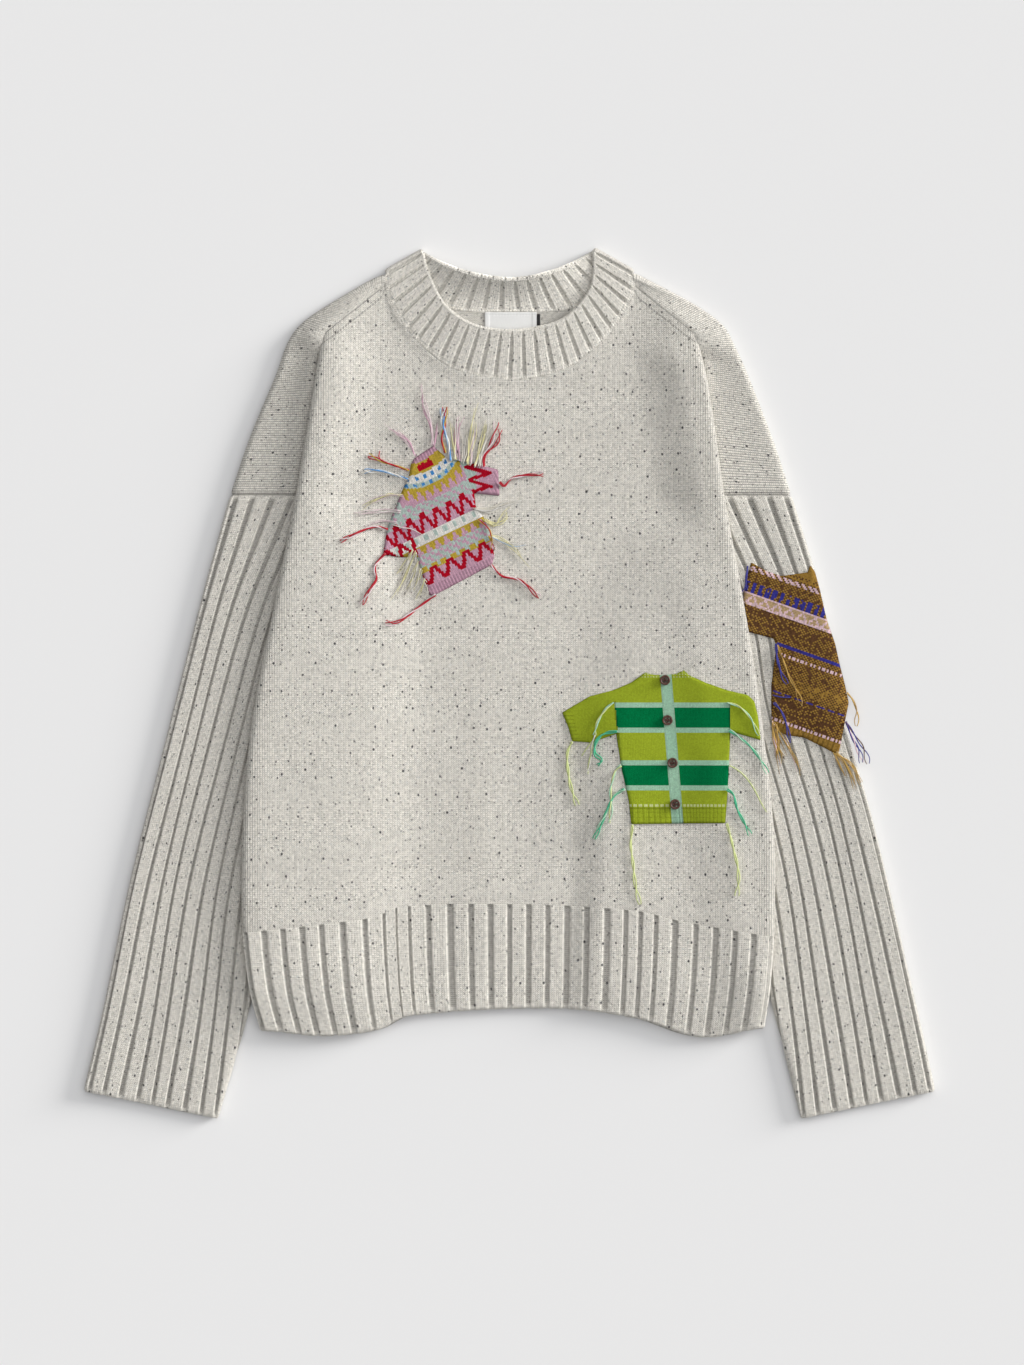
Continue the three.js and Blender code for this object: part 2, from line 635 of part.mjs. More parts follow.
// A round button with four holes, resting on the patch under it and tilted with it.
function button([x, y], under) {
  const disc = new THREE.Shape(circle([0, 0], BUTTON_RADIUS, 24));
  for (let k = 0; k < 4; k += 1) {
    const angle = Math.PI / 4 + k * Math.PI / 2;
    const middle = [HOLE_OFFSET * Math.cos(angle), HOLE_OFFSET * Math.sin(angle)];
    disc.holes.push(new THREE.Path(circle(middle, HOLE_RADIUS, 6)));
  }
  const geometry = new THREE.ExtrudeGeometry(disc, { depth: BUTTON_HEIGHT, bevelEnabled: false });
  under.computeBoundingSphere();
  const probe = new THREE.Raycaster(new THREE.Vector3(x, y, 100), new THREE.Vector3(0, 0, -1));
  const hit = probe.intersectObject(new THREE.Mesh(under))[0];
  const tilt = new THREE.Quaternion().setFromUnitVectors(new THREE.Vector3(0, 0, 1), hit.face.normal);
  const rest = hit.point.addScaledVector(hit.face.normal, 2 * SEAM_GAP);
  return { geometry, tilt, rest };
}

// ---------------------------------------------------------------- assembly

const WOOL = { color: 0xd3cfc6, roughness: 0.95 };
const sweater = new THREE.Group();

function add(name, geometry, finish) {
  const solid = geometry.index ? upright(geometry) : geometry;
  solid.computeVertexNormals();
  const mesh = new THREE.Mesh(solid, new THREE.MeshStandardMaterial({ metalness: 0, ...finish }));
  mesh.name = name;
  sweater.add(mesh);
  return mesh;
}

add('back_panel', backPanel(), WOOL);
add('front_panel', frontPanel(), WOOL);
add('back_hem_rib', backHemRib(), WOOL);
add('front_hem_rib', frontHemRib(), WOOL);
add('sleeve_left', sleeve(LEFT), WOOL);
add('sleeve_right', sleeve(RIGHT), WOOL);
add('neckband', neckband(), WOOL);

const LABEL_TOP = BACK_NECK[0][1] - 1;
const LABEL_Z = CLOTH + SEAM_GAP;
const TAB_X = LABEL_X + (LABEL_SIZE[0] + TAB_SIZE[0]) / 2 + SEAM_GAP;
const label = plate(LABEL_SIZE, LABEL_CLOTH, LABEL_X, LABEL_TOP, LABEL_Z);
const tab = plate(TAB_SIZE, LABEL_CLOTH, TAB_X, LABEL_TOP - TAB_DROP, LABEL_Z);
add('neck_label', label, { color: 0xeeeeea, roughness: 0.7 });
add('label_tab', tab, { color: 0x1c1c1c, roughness: 0.8 });

const cardigan = patch(FRONT_FACE, CARDIGAN_OUTLINE);
add('patch_fair_isle', patch(FRONT_FACE, FAIR_ISLE_OUTLINE), { color: 0xc9a0ab, roughness: 0.95 });
add('patch_cardigan', cardigan, { color: 0xa9c24a, roughness: 0.95 });
add('patch_striped', patch(RIGHT_SLEEVE_FACE, STRIPED_OUTLINE), { color: 0x8a7a50, roughness: 0.95 });

const fairIsleEnds = yarnEnds(FRONT_FACE, FAIR_ISLE_REACH, FAIR_ISLE_OUTLINE);
const cardiganEnds = yarnEnds(FRONT_FACE, CARDIGAN_REACH, CARDIGAN_OUTLINE);
const stripedEnds = yarnEnds(RIGHT_SLEEVE_FACE, STRIPED_REACH, STRIPED_OUTLINE);
add('yarn_ends_fair_isle', fairIsleEnds, { color: 0xe0c8c0, roughness: 0.95 });
add('yarn_ends_cardigan', cardiganEnds, { color: 0xc8d88a, roughness: 0.95 });
add('yarn_ends_striped', stripedEnds, { color: 0xb09a70, roughness: 0.95 });

BUTTON_PLACES.forEach((place, k) => {
  const { geometry, tilt, rest } = button(place, cardigan);
  const mesh = add(`button_${k + 1}`, geometry, { color: 0x6b4a2c, roughness: 0.45 });
  mesh.quaternion.copy(tilt);
  mesh.position.copy(rest);
});

export default sweater;
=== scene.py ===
"""A darned wool sweater laid flat: knitted panels with real ribs, sewn-on darns and yarn ends."""
import math

import bpy
import numpy as np
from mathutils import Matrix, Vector
from mathutils.geometry import delaunay_2d_cdt


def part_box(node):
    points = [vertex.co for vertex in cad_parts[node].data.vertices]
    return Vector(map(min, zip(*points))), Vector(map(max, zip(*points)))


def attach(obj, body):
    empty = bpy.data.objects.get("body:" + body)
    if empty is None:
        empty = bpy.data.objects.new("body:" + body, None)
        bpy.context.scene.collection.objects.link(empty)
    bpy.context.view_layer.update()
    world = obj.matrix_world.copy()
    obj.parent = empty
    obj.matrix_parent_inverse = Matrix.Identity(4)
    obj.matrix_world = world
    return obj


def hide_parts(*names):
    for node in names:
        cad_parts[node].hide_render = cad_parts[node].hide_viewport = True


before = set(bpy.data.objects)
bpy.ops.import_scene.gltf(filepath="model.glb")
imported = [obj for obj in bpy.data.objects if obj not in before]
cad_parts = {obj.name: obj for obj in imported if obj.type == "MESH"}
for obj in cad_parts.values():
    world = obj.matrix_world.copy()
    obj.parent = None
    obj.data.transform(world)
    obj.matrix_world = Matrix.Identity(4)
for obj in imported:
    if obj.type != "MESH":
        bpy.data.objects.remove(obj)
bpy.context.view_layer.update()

# ---------------------------------------------------------------- camera, light and floor

CAMERA_HEIGHT = 4.0
FRAME_HEIGHT = 1.092  # what the frame's long side sees on the floor, in metres
# Two wide soft lights: where they are, how many degrees wide they look, and their strength.
SOFT_LIGHTS = {
    "window": ((0.87, 0.40, 0.27), 24, 3.5, (1, 0.985, 0.96)),
    "ceiling": ((0.25, 0.20, 1.0), 80, 1.56, (0.99, 0.99, 1)),
}
ROOM_POWER = 0.25


def make_camera():
    data = bpy.data.cameras.new("camera")
    data.sensor_fit = "VERTICAL"
    data.angle_y = 2 * math.atan(FRAME_HEIGHT / 2 / CAMERA_HEIGHT)
    camera = bpy.data.objects.new("camera", data)
    camera.location = (0.002, 0, CAMERA_HEIGHT)
    bpy.context.scene.collection.objects.link(camera)
    bpy.context.scene.camera = camera


def make_light():
    """A low window on the upper right and a bright ceiling, in an even white room."""
    for name, (way, width, power, colour) in SOFT_LIGHTS.items():
        data = bpy.data.lights.new(name, "SUN")
        data.angle = math.radians(width)
        data.energy = power
        data.color = colour
        light = bpy.data.objects.new(name, data)
        light.rotation_euler = (-Vector(way)).to_track_quat("-Z", "Y").to_euler()
        bpy.context.scene.collection.objects.link(light)
    world = bpy.data.worlds.new("studio")
    world.use_nodes = True
    back = world.node_tree.nodes["Background"]
    back.inputs["Color"].default_value = (0.985, 0.99, 1, 1)
    back.inputs["Strength"].default_value = ROOM_POWER
    bpy.context.scene.world = world


make_camera()

# ---------------------------------------------------------------- numbers shared with the solids

MM = 0.001
CLOTH = 3.0
BAND_CLOTH = 3.5
LAYER_GAP = 1.4
FRONT_TOP = 2 * CLOTH + LAYER_GAP
OVER_SLEEVE = 8.0
FOLD_HEIGHT = 10.0
FOLD_RADIUS = 5.0
PLUMP = 40.0  # how far in from the side fold its fullness reaches, from the armhole up
PLUMP_NARROWS_Y = 60.0
EDGE_HEIGHT = 9.0
DRAPE = 42.0
DRAPE_FADE = 40.0  # the front's own drape ends over this much below the armhole
CAP_TUCK = 12.0
SEAM_GAP = 0.3
PATCH_CLOTH = 1.8
ARMHOLE_Y = 150.0
NECK_HALF = 100.0
SHOULDER_HALF = 150.0
BACK_EDGE_INSET = 10.6
WALE = 1.95  # width of a knit stitch
COURSE = 1.57  # and its height

# Each side's outlines as (y, distance from the middle), from the hem up, and the shoulder's fold
# as (x, y). The front comes down from its side fold between start and end, both (y, distance in
# from the fold), later in between where late is more, and only a part of its height. plump is how
# far in the side fold's fullness reaches low down.
SIDES = {
    -1: dict(
        body=[(-283, 197), (-240, 208), (-164, 214), (-42, 207), (66, 187), (147, 171), (232, 157),
              (276, 150)],
        outer=[(-326, 340), (-259, 324), (-159, 303), (-56, 277), (66, 246), (150, 223)],
        inner=[(-348, 233), (-264, 209), (-160, 184), (0, 158), (90, 154), (126, 163), (150, 161)],
        fold=[(100.8, 326), (116, 319), (151, 298), (168, 285), (178, 270), (187, 245), (207, 197),
              (223, 150)],
        start=[(-283, 20), (0, 18), (60, 12), (140, 8)],
        end=[(-283, 146), (0, 138), (40, 126), (100, 92), (140, 76)],
        late=2.5, part=1, plump=150,
    ),
    1: dict(
        body=[(-283, 202), (-240, 208), (-164, 212), (-107, 210), (-5, 198), (80, 184), (146, 172),
              (234, 159), (276, 150)],
        outer=[(-326, 340), (-259, 325), (-110, 290), (-15, 263), (58, 252), (150, 225)],
        inner=[(-348, 233), (-264, 212), (-160, 186), (0, 160), (90, 155), (126, 164), (150, 162)],
        fold=[(100.8, 327), (124, 315), (148, 302), (170, 286), (180, 269), (192, 242), (212, 190),
              (225, 150)],
        start=[(-283, 136), (-160, 134), (-60, 118), (30, 76), (140, 30)],
        end=[(-283, 168), (-160, 166), (-60, 158), (30, 148), (140, 90)],
        late=1, part=0.75, plump=40,
    ),
}
CAP_SEAM = [(100.8, 317.4), (112, 308.8), (132, 292.8)]
CAP_BESIDE_FOLD = [(278.4, 1), (268, 1.6), (248, -3), (197, -CAP_TUCK), (150, -CAP_TUCK)]
CAP_UNDER = [(100.8, 312), (110, 304), (135, 284), (146, 270), (146, 262), (146, 240), (146, 197),
             (146, 150)]
FRONT_NECK = [(0, 242), (42, 250), (66, 266), (84, 285), (97, 307), (100, 317)]
BACK_NECK = [(0, 297), (42, 298), (70, 308), (100, 325)]
SHOULDER_LINE = [(100, 320), (116, 313), (150, 292), (160, 285)]
HEM_SEAM = [(-212, -199), (-146, -192), (-110, -187), (-88, -179), (8, -177), (104, -182),
            (139, -190), (212, -202)]
HEM_EDGE = [(-199, -278), (-158, -282), (-111, -277), (-84, -266), (38, -260), (104, -268),
            (158, -283), (204, -276)]
BAND_FRONT_SEAM = [(-98, 326), (-96, 309), (-83, 286), (-65, 267), (-41, 251), (0, 243), (41, 251),
                   (65, 267), (83, 286), (96, 309), (98, 326)]
BAND_FRONT_EDGE = [(-68, 343), (-63, 325), (-50, 301), (-27, 286), (3, 282), (36, 288), (54, 301),
                   (65, 319), (66, 344)]
BAND_BACK_SEAM = [(-98, 326), (-70, 310), (-42, 299.5), (0, 298.3), (42, 299.5), (70, 310), (98, 326)]
BAND_BACK_EDGE = [(-68, 343), (-36, 330), (1, 324), (34, 330), (66, 344)]
BAND_STAND = 13.0
BAND_CURL = 3.0
# The front's low folds: x at the hem, lean, lowest and highest y, height and width.
FOLDS = [(-22, 0, -290, 70, 1, 18), (33, 0, -290, 0, 0.6, 14), (188, -0.1, -290, 190, 2, 20)]

# ---------------------------------------------------------------- curves


def lerp(a, b, t):
    return a + (b - a) * t


def smooth(x, low, high):
    t = np.clip((np.asarray(x, float) - low) / (high - low), 0, 1)
    return t * t * (3 - 2 * t)


def smooth_through(pairs):
    """The solids' smooth function through (position, value) pairs."""
    pos, val = np.array(pairs, float).T
    last = len(pos) - 1

    def at(x):
        x = np.asarray(x, float)
        k = np.clip(np.searchsorted(pos, x, side="left") - 1, 0, last - 1)
        before, after = np.maximum(k - 1, 0), np.minimum(k + 2, last)
        span = pos[k + 1] - pos[k]
        t = np.clip((x - pos[k]) / span, 0, 1)
        slope_in = span * (val[k + 1] - val[before]) / (pos[k + 1] - pos[before])
        slope_out = span * (val[after] - val[k]) / (pos[after] - pos[k])
        bent = slope_in * t * (1 - t) ** 2 - slope_out * t * t * (1 - t)
        return lerp(val[k], val[k + 1], t * t * (3 - 2 * t)) + bent

    return at


def spline(points, t):
    """The solids' plan curve through points, at shares t of its control points."""
    p = np.array(points, float)
    n = len(p)
    at = np.clip(np.asarray(t, float), 0, 1) * (n - 1)
    k = np.minimum(at.astype(int), n - 2)
    w = (at - k)[:, None]
    p0, p1 = p[np.maximum(k - 1, 0)], p[k]
    p2, p3 = p[k + 1], p[np.minimum(k + 2, n - 1)]
    v0, v1 = (p2 - p0) / 2, (p3 - p1) / 2
    return (2 * p1 - 2 * p2 + v0 + v1) * w**3 + (-3 * p1 + 3 * p2 - 2 * v0 - v1) * w**2 + v0 * w + p1


def lengths(points):
    return np.concatenate([[0], np.cumsum(np.linalg.norm(np.diff(points, axis=0), axis=1))])


def resampled(points, t):
    """Points at shares t of a polyline's length."""
    points = np.asarray(points, float)
    along = lengths(points)
    at = np.asarray(t, float) * along[-1]
    return np.stack([np.interp(at, along, points[:, k]) for k in range(points.shape[1])], axis=-1)


def spaced(points, t):
    return resampled(spline(points, np.linspace(0, 1, 1501)), t)


for side in SIDES.values():
    for key in ("body", "outer", "inner", "start", "end"):
        side[key + "_at"] = smooth_through(side[key])


def of_side(x, key):
    return np.where(np.asarray(x) < 0, SIDES[-1][key], SIDES[1][key])


def by_side(x, key, y):
    return np.where(np.asarray(x) < 0, SIDES[-1][key](y), SIDES[1][key](y))


lip_height = smooth_through([(-284, 2), (-245, OVER_SLEEVE), (-200, OVER_SLEEVE), (240, OVER_SLEEVE),
                             (256, OVER_SLEEVE - 0.4), (277, CLOTH + SEAM_GAP)])


def back_edge_height(y):
    return lip_height(y) * (1 - smooth(y, ARMHOLE_Y - 20, ARMHOLE_Y + 8))


def lift_share(x, y, inset):
    tuck = np.where(y > ARMHOLE_Y, CAP_TUCK,
                    np.maximum(by_side(x, "body_at", y) - by_side(x, "inner_at", y), 0))
    t = np.clip((inset - tuck - 4) / DRAPE, 0, 1)
    return 1 - t * t * (3 - 2 * t)


def front_lift_share(x, y, inset):
    """The front comes down further in than the back: a part of it at each side's own drape."""
    beside = lift_share(x, y, inset)
    start, end = by_side(x, "start_at", y), by_side(x, "end_at", y)
    share = np.maximum((inset - start) / (end - start), 0) ** of_side(x, "late")
    draped = lerp(beside, 1 - smooth(share, 0, 1), of_side(x, "part"))
    return lerp(np.maximum(beside, draped), beside, smooth(y, ARMHOLE_Y - DRAPE_FADE, ARMHOLE_Y))


def front_relief(x, y):
    total = 0
    for middle, lean, low, high, height, width in FOLDS:
        length = (y - low) / (high - low)
        fade = smooth(length, -0.05, 0.2) * (1 - smooth(length, 0.6, 1))
        total = total + height * fade * np.exp(-(((x - middle - lean * (y - low)) / width) ** 2))
    return total


def rumple(x, y):
    """Small soft unevenness of cloth laid down by hand, in mm."""
    return (0.35 * np.sin(x / 31 + 1.3 * np.sin(y / 67)) * np.cos(y / 83 + 0.4)
            + 0.25 * np.sin(x / 17.0 + y / 29.0 + 2 * np.sin(y / 51.0)) * np.sin(y / 47.0 + x / 90.0))


def front_height(x, y):
    inset = by_side(x, "body_at", y) - np.abs(x)
    width = lerp(of_side(x, "plump"), PLUMP, smooth(y, PLUMP_NARROWS_Y, ARMHOLE_Y))
    plump = (FOLD_HEIGHT - FRONT_TOP) * (1 - smooth((inset - FOLD_RADIUS) / (width - FOLD_RADIUS), 0, 1))
    calm = smooth(inset, 4, 30)
    return (FRONT_TOP + lip_height(y) * front_lift_share(x, y, inset) + plump + front_relief(x, y)
            + calm * rumple(x, y))


hem_seam, hem_edge = smooth_through(HEM_SEAM), smooth_through(HEM_EDGE)
front_neck, back_neck = smooth_through(FRONT_NECK), smooth_through(BACK_NECK)
shoulder_line = smooth_through(SHOULDER_LINE)


def seam_over(u):
    return hem_seam(np.clip(u, -1, 1) * HEM_SEAM[-1][0])


def hem_over(u):
    return hem_edge(np.clip(u, -1, 1) * HEM_EDGE[-1][0])


def shoulder_reach(q):
    """How far from the middle the front's column q is at the shoulder."""
    turn = np.clip(np.abs(q) - 1, 0, 0.5)
    return np.minimum(np.abs(q), 1) * (SHOULDER_HALF - FOLD_RADIUS) + FOLD_RADIUS * np.sin(np.pi * turn)


FRONT_TOP_Y, FRONT_SHOULDER_Y = 317, 277  # the front's top edge at the neck and at the shoulder
BACK_HALF = 160


def front_top_over(q):
    reach = shoulder_reach(q)
    slope = lerp(FRONT_TOP_Y, FRONT_SHOULDER_Y, (reach - NECK_HALF) / (SHOULDER_HALF - NECK_HALF))
    return np.where(reach < NECK_HALF, front_neck(reach), slope) - SEAM_GAP


def back_top_over(u):
    reach = np.abs(u) * BACK_HALF
    return np.where(reach < NECK_HALF, back_neck(reach) - SEAM_GAP, shoulder_line(reach))


# ---------------------------------------------------------------- meshes


def grid_normals(grid, ringed=False):
    if ringed:
        across = np.roll(grid, -1, 1) - np.roll(grid, 1, 1)
    else:
        across = np.gradient(grid, axis=1)
    normal = np.cross(across, np.gradient(grid, axis=0))
    return normal / np.maximum(np.linalg.norm(normal, axis=-1, keepdims=True), 1e-9)


class Piece:
    """Gathers grids, tubes and plates into one mesh. knit holds (wale, course) for the material,
    a point attribute of painted shade darkens the colour up to 1 and is painted light below 0,
    purl runs from 0 to 1, and dye is a colour."""

    def __init__(self, name):
        self.name = name
        self.count = 0
        self.points, self.tone, self.purl = [], [], []
        self.faces, self.creases = [], []

    def add(self, points, tone=0.0, purl=0.0):
        points = np.asarray(points, float).reshape(-1, 3)
        first, n = self.count, len(points)
        self.points.append(points)
        self.tone.append(np.broadcast_to(np.ravel(tone), n) if np.size(tone) == 1 else np.ravel(tone))
        self.purl.append(np.broadcast_to(np.ravel(purl), n) if np.size(purl) == 1 else np.ravel(purl))
        self.count += n
        return first

    def face(self, corners, knit, bake, dye=(1, 1, 1)):
        """corners is (n, 3 or 4) vertex numbers, with knit and bake coordinates per corner, and
        dye one colour a face."""
        if len(corners):
            corners = np.asarray(corners)
            dye = np.broadcast_to(np.asarray(dye, float), (len(corners), 3))
            self.faces.append((corners, np.asarray(knit, float), np.asarray(bake, float),
                               np.repeat(dye, corners.shape[1], 0)))

    def grid(self, points, knit, rect, ringed=False, flip=False, tone=0.0, purl=0.0, dye=(1, 1, 1)):
        """Quads over rows and columns. knit has one more column than points where ringed."""
        rows, columns = points.shape[:2]
        tone, purl = (np.broadcast_to(a, (rows, columns)) for a in (tone, purl))
        first = self.add(points, tone, purl)
        steps = columns if ringed else columns - 1
        number = first + np.arange(rows * columns).reshape(rows, columns)
        i, j = np.meshgrid(np.arange(rows - 1), np.arange(steps), indexing="ij")
        i, j = i.ravel(), j.ravel()
        corners = [(i, j), (i, j + 1), (i + 1, j + 1), (i + 1, j)]
        if flip:
            corners.reverse()
        wrap = [(a, b % columns) for a, b in corners]
        bake = in_rect(rows, steps + 1, rect)
        if np.ndim(dye) == 3:
            dye = dye[i, j]
        self.face(np.stack([number[a, b] for a, b in wrap], 1),
                  np.stack([knit[a, b] for a, b in corners], 1),
                  np.stack([bake[a, b] for a, b in corners], 1), dye)
        return number

    def strip(self, fine, coarse, rect, flip=False):
        """Joins an edge of a fine grid to the same edge of a coarser one."""
        per = (len(fine) - 1) // (len(coarse) - 1)
        corners = []
        for k in range(len(coarse) - 1):
            a, b = coarse[k], coarse[k + 1]
            run = fine[k * per:(k + 1) * per + 1]
            half = (len(run) - 1) // 2
            corners += [(run[m], run[m + 1], a) for m in range(half)]
            corners += [(run[m], run[m + 1], b) for m in range(half, len(run) - 1)]
            corners.append((a, run[half], b))
        corners = np.array(corners)
        if flip:
            corners = corners[:, ::-1]
        x0, y0, x1, y1 = rect
        share = np.linspace(0, 1, len(corners) + 1)
        low = np.stack([lerp(x0, x1, share), np.full(len(share), y0)], 1)
        high = np.stack([lerp(x0, x1, share), np.full(len(share), y1)], 1)
        bake = np.stack([low[:-1], low[1:], high[:-1]], 1)
        self.face(corners, bake * 8, bake)

    def crease(self, line):
        """A line of vertices where the surface doesn't round over."""
        self.creases.append(np.sort(np.stack([line[:-1], line[1:]], 1), 1))

    def build(self, slot, material, body="root"):
        mesh = bpy.data.meshes.new(self.name)
        points = np.concatenate(self.points) * MM
        mesh.vertices.add(len(points))
        mesh.vertices.foreach_set("co", points.astype(np.float32).ravel())
        loops = np.concatenate([f[0].ravel() for f in self.faces])
        sizes = np.concatenate([np.full(len(f[0]), f[0].shape[1]) for f in self.faces])
        mesh.loops.add(len(loops))
        mesh.loops.foreach_set("vertex_index", loops.astype(np.int32))
        mesh.polygons.add(len(sizes))
        starts = np.concatenate([[0], np.cumsum(sizes)[:-1]])
        mesh.polygons.foreach_set("loop_start", starts.astype(np.int32))
        mesh.polygons.foreach_set("use_smooth", np.ones(len(sizes), bool))
        mesh.update(calc_edges=True)
        for k, layer in ((2, "OFBake"), (1, "knit")):
            data = np.concatenate([f[k].reshape(-1, 2) for f in self.faces])
            mesh.uv_layers.new(name=layer).uv.foreach_set("vector", data.astype(np.float32).ravel())
        for name, data in (("tone", self.tone), ("purl", self.purl)):
            values = np.concatenate(data).astype(np.float32)
            mesh.attributes.new(name, "FLOAT", "POINT").data.foreach_set("value", values)
        dye = np.concatenate([f[3] for f in self.faces])
        dye = np.concatenate([dye, np.ones((len(dye), 1))], 1).astype(np.float32)
        mesh.attributes.new("dye", "FLOAT_COLOR", "CORNER").data.foreach_set("color", dye.ravel())
        if self.creases:
            ends = np.empty(len(mesh.edges) * 2, np.int32)
            mesh.edges.foreach_get("vertices", ends)
            ends = np.sort(ends.reshape(-1, 2), 1).astype(np.int64) @ [self.count, 1]
            sharp = np.isin(ends, np.concatenate(self.creases).astype(np.int64) @ [self.count, 1])
            mesh.attributes.new("sharp_edge", "BOOLEAN", "EDGE").data.foreach_set("value", sharp)
        mesh.validate()
        mesh.materials.append(material)
        piece = bpy.data.objects.new(self.name, mesh)
        bpy.context.scene.collection.objects.link(piece)
        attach(piece, body)
        return piece


def in_rect(rows, columns, rect):
    x0, y0, x1, y1 = rect
    v, u = np.meshgrid(np.linspace(y0, y1, rows), np.linspace(x0, x1, columns), indexing="ij")
    return np.stack([u, v], -1)


WHOLE = (0.005, 0.005, 0.995, 0.80)
INSIDE = (0.005, 0.81, 0.80, 0.985)
EDGES = [(0.81, 0.81, 0.99, 0.83), (0.81, 0.84, 0.99, 0.86), (0.81, 0.87, 0.99, 0.89),
         (0.81, 0.90, 0.99, 0.92)]


def shell(piece, base, height, knit, coarse, tone=0.0, purl=0.0, rect=WHOLE, inside=INSIDE,
          edges=EDGES, inner_tone=0.45, crisp=()):
    """A closed cloth wall: base moved out by height, and a coarser inner layer. crisp names the
    edges that are sewn flush to a neighbour."""
    normal = grid_normals(base)
    outer = base + normal * np.asarray(height)[..., None]
    top = piece.grid(outer, knit, rect, tone=tone, purl=purl)
    ci, cj = coarse
    low = (base - normal * CLOTH)[::ci, ::cj]
    # The inner layer is darkened by painted shade, for the inside of the garment.
    under = piece.grid(low, knit[::ci, ::cj], inside, flip=True, tone=inner_tone, purl=1.0)
    piece.strip(top[0], under[0], edges[0], flip=True)
    piece.strip(top[-1], under[-1], edges[1])
    piece.strip(top[:, 0], under[:, 0], edges[2])
    piece.strip(top[:, -1], under[:, -1], edges[3], flip=True)
    for line in crisp:
        piece.crease(dict(first=top[0], last=top[-1], left=top[:, 0], right=top[:, -1])[line])


GROOVE_SOFT = 0.3  # the share of a groove's width over which its sides slope
GROOVE_LIP = 0.3  # how far the wool stands up beside a groove


def groove(phase, period, width, depth, crown=0.35):
    """Ribs: how far the knit surface is from its base at a phase that counts ribs, and 1 in the
    purl grooves, which lie at whole numbers. The stitches beside a groove stand a little proud."""
    off = np.abs(phase - np.round(phase)) * period
    half = width / 2
    inside = 1 - smooth(off, half * (1 - GROOVE_SOFT), half * (1 + GROOVE_SOFT))
    rise = np.clip((off - half) / np.maximum(period / 2 - half, 0.1), 0, 1)
    proud = np.exp(-(((off - half - 1.0) / 0.8) ** 2)) * (1 - inside)
    height = -depth * inside + crown * np.sqrt(np.maximum(1 - (1 - rise) ** 2, 0)) + GROOVE_LIP * proud
    return height, inside, proud


# ---------------------------------------------------------------- materials


class Field:
    """A shader number that plain arithmetic works on."""

    def __init__(self, shade, socket):
        self.shade, self.socket = shade, socket

    def do(self, operation, *others):
        return self.shade.math(operation, self, *others)

    def __add__(self, other):
        return self.do("ADD", other)

    def __sub__(self, other):
        return self.do("SUBTRACT", other)

    def __mul__(self, other):
        return self.do("MULTIPLY", other)

    def __truediv__(self, other):
        return self.do("DIVIDE", other)

    def __rsub__(self, other):
        return self.shade.math("SUBTRACT", other, self)

    __radd__, __rmul__ = __add__, __mul__

    def power(self, other):
        return self.do("MAXIMUM", 0).do("POWER", other)

    def between(self, low, high):
        """0 below low to 1 above high, smoothly."""
        node = self.shade.node("ShaderNodeMapRange")
        node.interpolation_type = "SMOOTHSTEP"
        self.shade.join(self, node.inputs["Value"])
        self.shade.join(low, node.inputs["From Min"])
        self.shade.join(high, node.inputs["From Max"])
        return Field(self.shade, node.outputs["Result"])


